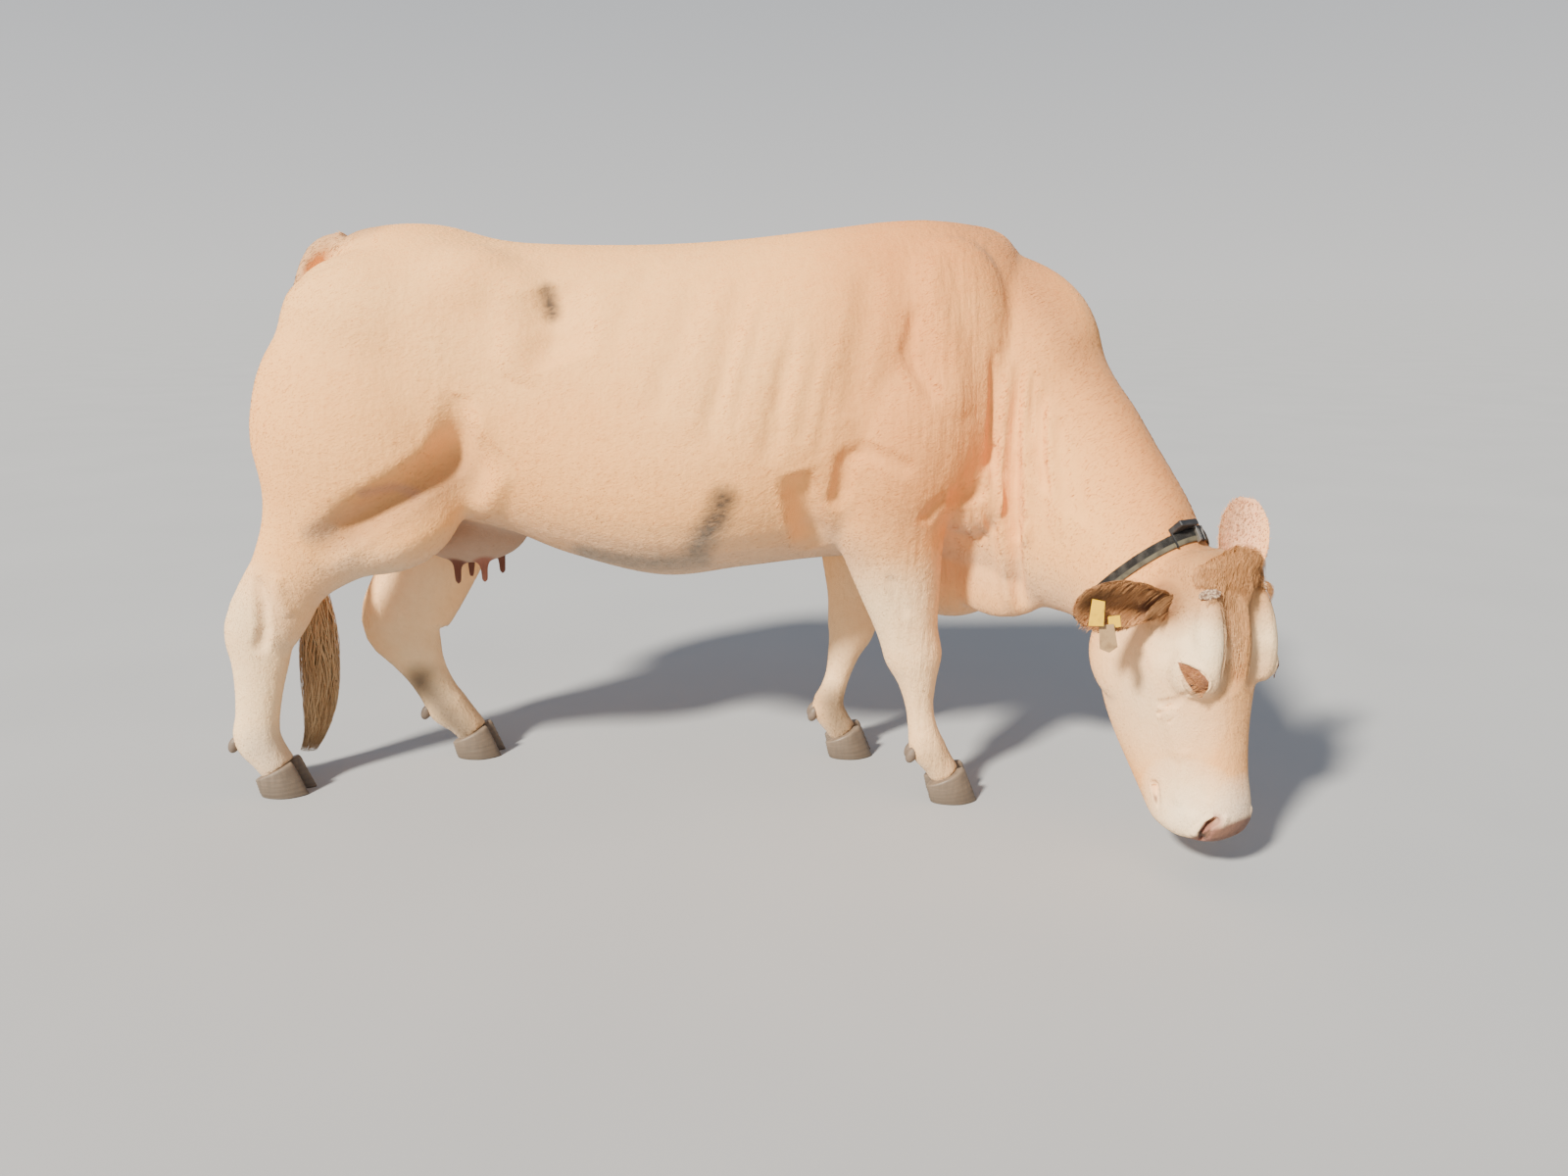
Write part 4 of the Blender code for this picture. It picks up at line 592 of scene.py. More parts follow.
def tube(name, stations, collection, across=None, sides=RING_SIDES, step=RING_STEP):
    """A loft along a path whose rings stand square to it. across is the sideways direction."""
    rows = smooth_path(stations, step)
    middles = [Vector(row[:3]) for row in rows]
    rings = []
    for i, row in enumerate(rows):
        along = (middles[min(i + 1, len(rows) - 1)] - middles[max(i - 1, 0)]).normalized()
        side = Vector((0, 0, 1)).cross(along) if across is None else across
        side = (side - along * side.dot(along)).normalized()
        rings.append(section(middles[i], along.cross(side), side, row[3], row[4], sides=sides))
    return loft(name, rings, collection)


def torso(collection):
    stations = [(x, 0, (top + low) / 2, (top - low) / 2, wide, -belly, square)
                for x, top, low, wide, belly, square in TORSO]
    rings = [section(Vector(row[:3]), Vector((0, 0, 1)), Vector((0, 1, 0)), *row[3:])
             for row in smooth_path(stations)]
    return loft("torso_form", rings, collection)


def head_frame():
    """Matrix from the head's frame (down the face, to its left, out of the forehead) to the body's."""
    left = (FACE_LEFT - FACE_DOWN * FACE_LEFT.dot(FACE_DOWN)).normalized()
    out = FACE_DOWN.cross(left)
    frame = Matrix((FACE_DOWN, left, out)).transposed().to_4x4()
    frame.translation = POLL
    return frame


def head_form(collection):
    stations = [(down, 0, (front + back) / 2, (front - back) / 2, wide, lean)
                for down, front, back, wide, lean in HEAD]
    rings = [section(Vector(row[:3]), Vector((0, 0, 1)), Vector((0, 1, 0)), row[3], row[4], row[5], 2.3)
             for row in smooth_path(stations)]
    made = loft("head_form", rings, collection)
    made.data.transform(head_frame())
    return made


def mass(name, centre, sizes, turn, collection, frame=None, segments=24):
    """An ellipsoid of flesh or bone: sizes are its half sizes, turn its angles in degrees."""
    bm = bmesh.new()
    bmesh.ops.create_uvsphere(bm, u_segments=segments, v_segments=segments * 2 // 3, radius=1)
    made = object_of(name + "_form", bm, collection)
    place = Matrix.Translation(centre)
    for axis, angle in zip("XYZ", turn):
        place = place @ Matrix.Rotation(math.radians(angle), 4, axis)
    made.data.transform((frame or Matrix.Identity(4)) @ place @ Matrix.Diagonal((*sizes, 1)))


def masses(rows, side, collection, frame=None):
    """The masses of one side, from rows for the left one."""
    for name, (x, y, z), sizes, (roll, tilt, swing) in rows:
        mass(name, (x, side * y, z), sizes, (side * roll, tilt, side * swing), collection, frame)


def applied(thing, name, collection):
    """The object as its modifiers make it, as a plain mesh under another name."""
    bpy.context.view_layer.update()
    evaluated = thing.evaluated_get(bpy.context.evaluated_depsgraph_get())
    mesh = bpy.data.meshes.new_from_object(evaluated)
    mesh.name = name
    return new_object(name, mesh, collection)


def fused(name, things, voxel, rounds, collection):
    """One closed skin round all of the things, made of cells of the voxel's size and smoothed."""
    bm = bmesh.new()
    for thing in things:
        bm.from_mesh(thing.data)
    heap = object_of(name + "_parts", bm, collection)
    grain = heap.modifiers.new("grain", "REMESH")
    grain.mode = "VOXEL"
    grain.voxel_size = voxel
    calm = heap.modifiers.new("calm", "SMOOTH")
    calm.factor = 0.5
    calm.iterations = rounds
    made = applied(heap, name, collection)
    bpy.data.objects.remove(heap, do_unlink=True)
    return made


def distance_to(points, path):
    """Distance of each point from a path of two points or more."""
    best = np.full(len(points), 1e9)
    path = np.array(path, float)
    for start, end in zip(path, path[1:]):
        along = end - start
        share = np.clip((points - start) @ along / (along @ along), 0, 1)
        best = np.minimum(best, np.linalg.norm(points - start - share[:, None] * along, axis=1))
    return best


def nearness(points, path, reach):
    """1 on the path, falling smoothly to 0 at its reach."""
    return np.clip(1 - (distance_to(points, path) / reach) ** 2, 0, 1) ** 2


def cut_frame(origin, normal, across):
    """Matrix of a cutter: its z axis is the normal of the cut, its y axis runs across."""
    normal = normal.normalized()
    across = (across - normal * across.dot(normal)).normalized()
    frame = Matrix((across.cross(normal), across, normal)).transposed().to_4x4()
    frame.translation = origin
    return frame


def head_cut():
    """Frame of the cut behind the poll and the jaws, its z axis towards the face."""
    face = head_frame()
    nape = face @ Vector((-0.030, 0, -0.050))
    throat = face @ Vector((0.185, 0, -0.365))
    left = face.to_3x3() @ Vector((0, 1, 0))
    return cut_frame(nape, left.cross(nape - throat), left)


def ear_axes(label):
    """An ear's base, its axis, the way its hollow faces, the way across it, and its length."""
    base, axis, hollow, length = EAR_PLACES[label]
    axis = Vector(axis).normalized()
    hollow = Vector(hollow)
    hollow = (hollow - axis * hollow.dot(axis)).normalized()
    return Vector(base), axis, hollow, axis.cross(hollow), length


def ear_form(label, collection):
    """A leaf-shaped cup with a soft rim."""
    base, axis, hollow, across, length = ear_axes(label)
    rings = []
    for row in smooth_path([(along, 0, 0, half, cup) for along, half, cup in EAR], 0.012):
        middle = base + axis * (row[0] * length / EAR[-1][0])
        inner = []
        outer = []
        for k in range(15):
            t = -1 + k / 7
            rise = row[4] * (t * t - 0.5)
            back = rise - EAR_THICKNESS * (1 - 0.25 * t * t)
            inner.append(middle + across * (row[3] * t * 0.95) + hollow * (rise + 0.001))
            outer.append(middle + across * (row[3] * t) + hollow * back)
        rings.append(inner + outer[::-1])
    return loft("ear_form", rings, collection)


def body_forms(collection):
    """Every mass that makes up the body, overlapping its neighbours."""
    torso(collection)
    tube("neck_form", NECK, collection)
    sideways = Vector((0, 1, 0))
    for name, stations in (("hind_right", HIND_RIGHT), ("hind_left", HIND_LEFT),
                           ("fore_right", FORE_RIGHT), ("fore_left", FORE_LEFT)):
        tube(name + "_form", stations, collection, sideways)
    for side in BOTH:
        masses(BODY_MASSES, side, collection)
    mass("brisket", (0.43, 0.0, 0.58), (0.17, 0.100, 0.15), (0, 8, 0), collection)
    mass("dewlap", (0.53, -0.12, 0.585), (0.16, 0.05, 0.125), (0, 0, -35), collection)
    tube("tail_form", DOCK, collection, sideways)
    mass("bag", UDDER_CENTRE, UDDER_SIZES, (0, 0, 0), collection, segments=36)
    for x, y, tip in TEATS:
        rows = ((x, y * 0.9, tip + 0.110, 0.018, 0.018), (x, y, tip + 0.045, 0.014, 0.014),
                (x, y, tip + 0.012, 0.0125, 0.0125), (x, y, tip + 0.001, 0.008, 0.008))
        tube("teat_form", rows, collection, sideways, 16)
    head_form(collection)
    face = head_frame()
    for label, side in SIDES:
        masses(HEAD_MASSES, side, collection, face)
        ear_form(label, collection)
    mass("chin", (0.575, 0.0, -0.150), (0.045, 0.052, 0.042), (0, 0, 0), collection, face)


def points_of(thing):
    """Points and normals of a thing's mesh as arrays."""
    mesh = thing.data
    spots = np.empty(len(mesh.vertices) * 3)
    normals = np.empty(len(mesh.vertices) * 3)
    mesh.vertices.foreach_get("co", spots)
    mesh.vertices.foreach_get("normal", normals)
    return spots.reshape(-1, 3), normals.reshape(-1, 3)


def moved_to(thing, spots):
    thing.data.vertices.foreach_set("co", np.asarray(spots, np.float32).ravel())
    thing.data.update()


def kept_beyond(thing, plane, offset, ahead, chosen):
    """Cuts the chosen faces by a plane of the frame given and keeps those ahead of it, or behind."""
    bm, middles = opened(thing)
    geometry = {}
    for i in np.flatnonzero(chosen(middles)):
        geometry.update(dict.fromkeys((bm.faces[i], *bm.faces[i].edges, *bm.faces[i].verts)))
    bmesh.ops.bisect_plane(bm, geom=list(geometry), plane_co=plane @ Vector((0, 0, offset)),
                           plane_no=plane.to_3x3() @ Vector((0, 0, 1)),
                           clear_inner=ahead, clear_outer=not ahead)
    put_back(bm, thing)


def in_head(spots):
    """The spots in the head's own frame."""
    inverse = np.array(head_frame().inverted())
    return spots @ inverse[:3, :3].T + inverse[:3, 3]


def in_half_head(spots):
    """The spots in the head's own frame, its right side folded over to its left."""
    local = in_head(spots)
    local[:, 1] = np.abs(local[:, 1])
    return local


def to_body(spots):
    matrix = np.array(head_frame())
    return spots @ matrix[:3, :3].T + matrix[:3, 3]


def mark_lift(spots, normals, marks):
    """Height of the side marks at each point, less towards the ends of each."""
    lift = np.zeros(len(spots))
    flat = spots[:, (0, 2)]
    for sides, path, reach, height in marks:
        total = np.linalg.norm(np.diff(np.array(path, float), axis=0), axis=1).sum()
        away, place = place_along(flat, path)
        ends = np.clip(np.minimum(place, total - place) / max(0.2 * total, min(reach, 0.4 * total)), 0, 1)
        close = np.clip(1 - (away / reach) ** 2, 0, 1) ** 2 * ends * (2 - ends)
        for side in sides:
            facing = np.clip(side * normals[:, 1] * 1.6, 0, 1) * (side * spots[:, 1] > 0)
            lift += height * close * facing
    return lift


def head_lift(spots):
    """Height of the face's creases and ridges, of the mouth and of the nostrils."""
    local = in_half_head(spots)
    lift = np.zeros(len(spots))
    for path, reach, height in FACE_MARKS:
        rise = height * nearness(local, path, reach)
        lift = np.where(np.abs(rise) > np.abs(lift), rise, lift)
    for path, reach, height in FINE_FACE_MARKS:
        lift += height * nearness(local, path, reach)
    return lift


def lids(spots, side):
    """The skin round an eye laid over its ball: a leaf-shaped hollow and a slit in it."""
    centre, along, across, out = eye_axes(side)
    arms = in_head(spots) - centre
    p, q, height = arms @ along, arms @ across, arms @ out
    flat = p * p + q * q
    ball = np.sqrt(np.maximum(EYE_RADIUS ** 2 - flat, 0))
    floor = np.sqrt(np.maximum(EYE_RADIUS ** 2 - flat, (0.4 * EYE_RADIUS) ** 2))
    leaf, slit = inside(p, q, LEAF), inside(p, q, SLIT)
    around = np.where(ball > 0, np.maximum(height, ball + 0.004), height)
    around = around + 0.005 * np.exp(-((leaf + 0.006) / 0.005) ** 2) * (q > 0)
    hollow = np.maximum(np.minimum(around - 0.005, floor + 0.003), ball + 0.0016)
    hollow = hollow + 0.0016 * np.exp(-((slit + 0.0015) / 0.0012) ** 2)
    share = np.clip(leaf / 0.003 + 0.5, 0, 1)
    new = around + (hollow - around) * share * share * (3 - 2 * share)
    new = np.where(slit > 0, ball - 0.005, new)
    close = (height > -0.002) & (np.abs(p) < 0.065) & (np.abs(q) < 0.045)
    fade = np.clip((0.065 - np.sqrt(flat)) / 0.012, 0, 1) * close
    moved = in_head(spots) + out * ((new - height) * np.maximum(fade, close * (leaf > -0.004)))[:, None]
    return to_body(moved), np.where(close, leaf, -1), np.where(close, slit, -1)


def refined(thing, chosen):
    """Halves the edges of the faces whose middles are chosen."""
    bm, middles = opened(thing)
    picked = np.flatnonzero(chosen(in_half_head(middles)))
    edges = dict.fromkeys(edge for i in picked for edge in bm.faces[i].edges)
    bmesh.ops.subdivide_edges(bm, edges=list(edges), cuts=1, use_grid_fill=True)
    put_back(bm, thing)


def fine_zone(local, spare=1.0):
    """Where the face needs finer skin: round the eyes, the nostrils and the mouth."""
    eye_middle = np.array(EYE_PLACE) + (-0.008, 0.02, 0.01)
    near_eye = np.linalg.norm(local - eye_middle, axis=1) < 0.062 * spare
    near_nose = distance_to(local, NOSTRIL) < 0.026 * spare
    near_mouth = distance_to(local, MOUTH) < 0.012 * spare
    return near_eye | near_nose | near_mouth


def skin_of(forms):
    """The whole skin: a finer head and the body, overlapping under the collar."""
    body_forms(forms)
    things = list(forms.objects)
    ears = [thing for thing in things if thing.name.startswith("ear_form")]
    rest = [thing for thing in things if thing not in ears]
    heads = [thing for thing in rest if thing.name.split("_form")[0] in HEAD_PARTS]
    depsgraph = bpy.context.evaluated_depsgraph_get()
    neck_tree = BVHTree.FromObject(forms.objects["neck_form"], depsgraph)
    body = fused("body_skin", rest, VOXEL, 14, forms)
    calm = fused("calm_head", heads, HEAD_VOXEL * 1.6, 16, forms)
    head = fused("head_skin", [calm] + ears, HEAD_VOXEL, 7, forms)
    for thing in things + [calm]:
        bpy.data.objects.remove(thing, do_unlink=True)

    def off_the_ears(middles):
        chosen = np.ones(len(middles), bool)
        for label in EAR_PLACES:
            for i in np.flatnonzero(distance_to(middles, ear_path(label, 0.3)) < 0.085):
                chosen[i] = neck_tree.find_nearest(middles[i])[3] < 0.012
        return chosen

    plane = head_cut()
    kept_beyond(body, plane, STRAP_MIDDLE + SEAM, False, lambda middles: middles[:, 0] > 0.60)
    kept_beyond(head, plane, STRAP_MIDDLE - SEAM, True, off_the_ears)
    eased(body, EASING_ROUNDS)
    spots, normals = points_of(body)
    rise = mark_lift(spots, normals, BODY_MARKS)
    wider = [(sides, path, reach * 1.7, height) for sides, path, reach, height in FINE_MARKS]
    rise += mark_lift(spots, normals, wider)
    moved_to(body, spots + normals * (rise - COAT_DEPTH)[:, None])
    refined(head, fine_zone)
    refined(head, lambda local: fine_zone(local, 0.85))
    spots, normals = points_of(head)
    moved_to(head, spots + normals * (head_lift(spots) - COAT_DEPTH)[:, None])
    for side in BOTH:
        moved_to(head, lids(points_of(head)[0], side)[0])
    bm, _ = opened(body)
    bm.from_mesh(head.data)
    for face in bm.faces:
        face.smooth = True
    put_back(bm, body)
    body.modifiers.new("thin", "DECIMATE").ratio = SKIN_SHARE
    skin = applied(body, "skin", bpy.context.scene.collection)
    for thing in (head, body):
        bpy.data.objects.remove(thing, do_unlink=True)
    return skin


def mixed(colours, tint, weight):
    return colours + (np.array(tint) - colours) * np.clip(weight, 0, 1)[:, None]


def ellipse_distance(spots, centre, sizes):
    """Distance from a centre as a share of the half sizes."""
    return np.linalg.norm((spots - np.array(centre)) / np.array(sizes), axis=1)


def painted(spots, normals):
    """Colour of the coat or bare skin at each point."""
    colours = np.tile(CREAM, (len(spots), 1))

    def paint(tint, weight):
        nonlocal colours
        colours = mixed(colours, tint, weight)

    flat = spots[:, (0, 2)]
    speckle = np.abs(np.sin(spots @ np.array((912.0, 547.0, 731.0))) * 437.5) % 1
    for sides, path, reach, tint, strength in BODY_PAINT:
        weight = strength * nearness(flat, path, reach)
        if tint == DIRT:
            weight = np.clip(weight * (0.80 + 0.4 * speckle), 0, 1)
        if sides != BOTH:
            weight = weight * np.clip(0.5 + sides[0] * spots[:, 1] / 0.06, 0, 1)
        paint(tint, weight)
    under = np.clip(-normals[:, 2] * 1.4 - 0.3, 0, 1) * np.clip((0.80 - spots[:, 2]) / 0.1, 0, 1)
    paint(UNDERSIDE, 0.6 * under * (spots[:, 0] < 0.75))
    paint(BAG, np.clip((1.22 - ellipse_distance(spots, UDDER_CENTRE, UDDER_SIZES)) / 0.15, 0, 1))
    for x, y, tip in TEATS:
        close = ellipse_distance(spots, (x, y, tip + 0.035), (0.030, 0.030, 0.060))
        paint(DARK_TEAT if x < -0.8 or y > 0 else PALE_TEAT, np.clip((1.15 - close) / 0.35, 0, 1))
    local = in_half_head(spots)
    for place, reach, tint, strength in FACE_PAINT:
        away = np.linalg.norm(local - np.array(place), axis=1) / reach
        paint(tint, strength * np.clip(1.15 - away, 0, 1) ** 0.6 * (away < 1.15))
    pad = ellipse_distance(local, *NOSE_PAD)
    paint(PINK, np.clip((1.05 - pad) / 0.14, 0, 1) * (local[:, 2] > -0.14))
    pit = distance_to(local, NOSTRIL)
    # Painted highlight on the pink inner rim of each nostril, and painted shade in its opening
    paint(NOSTRIL_RIM_HIGHLIGHT, 0.8 * np.clip(1.6 - pit / 0.014, 0, 1) * (local[:, 1] < 0.068))
    paint(NOSTRIL_SHADE, np.clip(1.5 - pit / 0.0075, 0, 1))
    paint(MOUTH_LINE, 0.8 * np.clip(1.5 - distance_to(local, MOUTH) / 0.004, 0, 1))
    for label, (tint, start, shift) in EAR_PAINT.items():
        paint(tint, 0.92 * np.clip(1.5 - distance_to(spots, ear_path(label, 0.02)) / 0.058, 0, 1))
        # Painted shade in the hollow of each ear, darkest round the place given in EAR_PAINT
        heart = ear_path(label, start)[0] + shift
        shaded = np.linalg.norm(spots - heart, axis=1)
        paint(EAR_HOLLOW_SHADE, 0.8 * np.clip(1.5 - shaded / 0.038, 0, 1))
    for side in BOTH:
        _, leaf, slit = lids(spots, side)
        paint(LID, np.clip(leaf / 0.0015 + 0.5, 0, 1))
        paint(LID_RIM, np.clip(1.2 - np.abs(slit) / 0.0022, 0, 1))
    return colours


def flow(spots, normals):
    """The way the coat lies at each point, along the skin."""
    ways = np.tile((-1.0, 0.0, -0.55), (len(spots), 1))

    def turned(target, weight):
        return ways + (np.array(target) - ways) * np.clip(weight, 0, 1)[:, None]

    ways = turned((-0.55, 0.35, -0.65), (spots[:, 0] - 0.45) / 0.15)
    ways = turned((-0.12, 0.0, -1.0), (0.70 - spots[:, 2]) / 0.15 * (np.abs(spots[:, 1]) > 0.06))
    ways = turned(FACE_DOWN, on_head(spots))
    for label, (_, axis, _, _) in EAR_PLACES.items():
        ways = turned(axis, 1.5 - distance_to(spots, ear_path(label)) / 0.055)
    return along_skin(ways, normals, 1e-6)


def along_skin(ways, normals, least=0.0):
    """The ways laid flat on the skin, one unit long."""
    ways = ways - normals * (ways * normals).sum(1)[:, None]
    return ways / np.maximum(np.linalg.norm(ways, axis=1), least)[:, None]


def mesh_of(name, points, faces, colours, patches=None):
    """An object from arrays: points, faces of three or four corners, a colour at each point,
    and where given each point's place on the coat's map."""
    mesh = bpy.data.meshes.new(name)
    corners = faces.shape[1]
    mesh.vertices.add(len(points))
    mesh.vertices.foreach_set("co", np.asarray(points, np.float32).ravel())
    mesh.loops.add(faces.size)
    mesh.loops.foreach_set("vertex_index", np.asarray(faces, np.int32).ravel())
    mesh.polygons.add(len(faces))
    mesh.polygons.foreach_set("loop_start", np.arange(0, faces.size, corners, dtype=np.int32))
    mesh.update(calc_edges=True)
    store_colours(mesh, colours)
    if patches is not None:
        layer = mesh.uv_layers.new(name="OFBake")
        layer.uv.foreach_set("vector", np.asarray(patches[faces.ravel()], np.float32).ravel())
    return new_object(name, mesh)


def store_colours(mesh, colours):
    layer = mesh.color_attributes.new("coat", "FLOAT_COLOR", "POINT")
    rows = np.ones((len(mesh.vertices), 4), np.float32)
    rows[:, :3] = np.clip(colours, 0, 1)
    layer.data.foreach_set("color", rows.ravel())


class CoatMap:
    """An unwrap of the skin's own shape, read from a coarse copy of it."""

    def __init__(self, skin):
        coarse = bpy.data.objects.new("coat_map", skin.data.copy())
        bpy.context.scene.collection.objects.link(coarse)
        thin = coarse.modifiers.new("thin", "DECIMATE")
        thin.ratio = 5000 / (2 * len(coarse.data.polygons))
        bpy.context.view_layer.objects.active = coarse
        bpy.ops.object.select_all(action="DESELECT")
        coarse.select_set(True)
        bpy.ops.object.modifier_apply(modifier=thin.name)
        bpy.ops.object.mode_set(mode="EDIT")
        bpy.ops.mesh.select_all(action="SELECT")
        bpy.ops.mesh.quads_convert_to_tris()
        bpy.ops.uv.smart_project(angle_limit=math.radians(66), island_margin=0.004)
        bpy.ops.object.mode_set(mode="OBJECT")
        mesh = coarse.data
        self.corners = np.array([[mesh.vertices[v].co[:] for v in face.vertices] for face in mesh.polygons])
        flat = np.empty(len(mesh.loops) * 2, np.float32)
        mesh.uv_layers.active.uv.foreach_get("vector", flat)
        self.places = flat.reshape(-1, 3, 2)
        self.tree = BVHTree.FromObject(coarse, bpy.context.evaluated_depsgraph_get())
        bpy.data.objects.remove(coarse, do_unlink=True)

    def patch_of(self, spots):
        """Place on the map of each point."""
        found = np.array([self.tree.find_nearest(spot)[2] for spot in spots])
        a, b, c = (self.corners[found, i] for i in range(3))
        ab, ac, ap = b - a, c - a, spots - a
        d00, d01, d11 = (ab * ab).sum(1), (ab * ac).sum(1), (ac * ac).sum(1)
        d20, d21 = (ap * ab).sum(1), (ap * ac).sum(1)
        span = np.maximum(d00 * d11 - d01 * d01, 1e-12)
        v = np.clip((d11 * d20 - d01 * d21) / span, 0, 1)
        w = np.clip((d00 * d21 - d01 * d20) / span, 0, 1 - v)
        uv = self.places[found]
        return uv[:, 0] * (1 - v - w)[:, None] + uv[:, 1] * v[:, None] + uv[:, 2] * w[:, None]


def scattered(skin, count, density, chance):
    """Points of the skin picked at random by area and density, with their normals."""
    mesh = skin.data
    mesh.calc_loop_triangles()
    faces = np.empty(len(mesh.loop_triangles) * 3, np.int32)
    mesh.loop_triangles.foreach_get("vertices", faces)
    faces = faces.reshape(-1, 3)
    spots, normals = points_of(skin)
    a, b, c = (spots[faces[:, i]] for i in range(3))
    areas = np.linalg.norm(np.cross(b - a, c - a), axis=1) / 2
    weights = areas * density((a + b + c) / 3)
    picked = chance.choice(len(faces), count, p=weights / weights.sum())
    r, s = np.sqrt(chance.random(count)), chance.random(count)
    shares = np.stack([1 - r, r * (1 - s), r * s], 1)[:, :, None]
    where = (spots[faces[picked]] * shares).sum(1)
    facing = (normals[faces[picked]] * shares).sum(1)
    return where, facing / np.linalg.norm(facing, axis=1)[:, None]


def bareness(spots):
    """1 where no hair grows: the nose pad, the nostrils, the mouth, the eyes and the teats."""
    local = in_half_head(spots)
    bare = (ellipse_distance(local, *NOSE_PAD) < 1) * 1.0
    bare = np.maximum(bare, distance_to(local, NOSTRIL) < 0.018)
    bare = np.maximum(bare, distance_to(local, MOUTH) < 0.006)
    for side in BOTH:
        bare = np.maximum(bare, lids(spots, side)[1] > -0.002)
    for x, y, tip in TEATS:
        close = ellipse_distance(spots, (x, y, tip + 0.035), (0.024, 0.024, 0.06))
        bare = np.maximum(bare, close < 1)
    return bare


def coat_length(spots):
    """Length of the coat at each point."""
    flat = spots[:, (0, 2)]
    length = 0.008 + 0.003 * np.clip((spots[:, 2] - 0.55) / 0.15, 0, 1)
    length += 0.003 * nearness(flat, NECK_CREST, 0.06)
    length += 0.004 * nearness(flat, TAIL_HEAD, 0.06)
    face = 0.0060 + 0.003 * np.clip(1 - in_head(spots)[:, 0] / 0.16, 0, 1)
    length += (face - length) * on_head(spots)
    for label in EAR_PLACES:
        length += (0.009 - length) * np.clip(1.4 - distance_to(spots, ear_path(label)) / 0.06, 0, 1)
    return length


def coat(skin, coat_map, total, chance):
    """Short tufts over the whole skin, in pieces of less than 200,000 triangles."""
    spots, normals = scattered(skin, total, coat_density, chance)
    ways = along_skin(flow(spots, normals) + chance.normal(0, 0.10, (total, 3)), normals)
    lengths = coat_length(spots) * chance.uniform(0.7, 1.25, total)
    widths = lengths * 0.13 + 0.0003
    stands = lengths * chance.uniform(0.008, 0.045, total)
    colours = painted(spots, normals) * chance.uniform(0.94, 1.06, (total, 1))
    patches = coat_map.patch_of(spots)
    roots = spots - normals * 0.0008
    half = np.cross(normals, ways) * (widths / 2)[:, None]
    points = np.stack([roots + half, roots - half, spots + normals * (widths * 0.12)[:, None],
                       spots + ways * lengths[:, None] + normals * stands[:, None]], 1)
    corners = np.array(((0, 1, 3), (1, 2, 3), (2, 0, 3), (0, 2, 1)))
    offsets = PATCH * np.array(((0, 0), (1, 0), (0, 1), (1, 1)))
    made = []
    order = np.argsort(spots[:, 0], kind="stable")
    for number, part in enumerate(np.array_split(order, math.ceil(total / TUFTS_A_PIECE))):
        faces = (np.arange(len(part))[:, None, None] * 4 + corners[None]).reshape(-1, 3)
        made.append(mesh_of(f"coat_{number + 1}", points[part].reshape(-1, 3), faces,
                            np.repeat(colours[part], 4, 0),
                            (patches[part][:, None] + offsets[None]).reshape(-1, 2)))
    return made


def coat_density(spots):
    """How thickly the tufts stand, as a share of the thickest."""
    thick = 1.0 + 0.6 * np.clip((0.70 - spots[:, 2]) / 0.1, 0, 1)
    thick += (3.0 - thick) * on_head(spots)
    thick = np.where(ellipse_distance(spots, UDDER_CENTRE, UDDER_SIZES) < 1.15, 0.15, thick)
    return thick * (1 - bareness(spots)) + 1e-9


def lock_mesh(name, paths, outs, width, flatness, roots, tips, patches):
    """Tapered locks as one mesh, from paths and outward ways of shape locks by rings by 3."""
    count, rings = paths.shape[:2]

    def unit(ways):
        return ways / np.maximum(np.linalg.norm(ways, axis=2, keepdims=True), 1e-9)

    along = unit(np.gradient(paths, axis=1))
    across = unit(np.cross(along, outs))
    outward = np.cross(across, along)
    level = np.linspace(0, 1, rings)
    swell = 0.55 + 0.45 * np.sin(np.pi * np.minimum(level * 1.6, 0.5 + level * 0.6))
    taper = swell * (1 - level ** 2.2) + 0.03
    half = width / 2 * taper[None, :, None]
    points = np.stack([paths + across * half, paths + outward * half * flatness,
                       paths - across * half, paths - outward * half * flatness], 2)
    shades = roots[:, None] + (tips - roots)[:, None] * level[None, :, None]
    sides = []
    for i in range(rings - 1):
        for k in range(4):
            j = (k + 1) % 4
            sides.append((4 * i + k, 4 * i + j, 4 * i + 4 + j, 4 * i + 4 + k))
    last = 4 * (rings - 1)
    sides += [(3, 2, 1, 0), (last, last + 1, last + 2, last + 3)]
    faces = (np.arange(count)[:, None, None] * (4 * rings) + np.array(sides)[None]).reshape(-1, 4)
    ring_places = PATCH * np.array([(k % 2, level[i]) for i in range(rings) for k in range(4)])
    return mesh_of(name, points.reshape(-1, 3), faces, np.repeat(shades, 4, 1).reshape(-1, 3),
                   (patches[:, None] + ring_places[None]).reshape(-1, 2))


def grown_paths(tree, rows, chance, wave, cling=True):
    """Paths of locks and the skin's way out along them. A row is where a lock starts, which way it
    heads, which way it ends, its length, its stand over the skin and its share of a shade."""
    paths, outs = [], []
    for start, heading, ending, length, stand, _ in rows:
        point, out = tree.find_nearest(start)[:2]
        height = stand * chance.uniform(0.35, 1.15)
        path, facing = [point - out * 0.003], [out]
        phase = chance.uniform(0, 6.3)
        for k in range(1, LOCK_RINGS):
            share = k / (LOCK_RINGS - 1)
            sway = Vector((math.sin(phase + k), math.cos(phase * 2 + k), 0)) * wave
            way = (Vector(heading) * (1 - share) + Vector(ending) * share + sway).normalized()
            guess = point + way * (length / (LOCK_RINGS - 1))
            near, normal = tree.find_nearest(guess)[:2]
            level = height * math.sin(math.pi * (0.15 + 0.82 * share))
            if cling or (guess - near).dot(normal) < level:
                guess = near + normal * level
            point = guess
            out = (out + normal).normalized()
            path.append(point)
            facing.append(out)
        paths.append([tuple(p) for p in path])
        outs.append([tuple(o) for o in facing])
    return np.array(paths), np.array(outs), np.array([row[5] for row in rows])


def faded(tints, shade, ends, fades):
    """Colours of the roots and tips of locks, faded into the coat's at each end."""
    return [mixed(np.array(tint) * shade, coat_tint, fades) for tint, coat_tint in zip(tints, ends)]


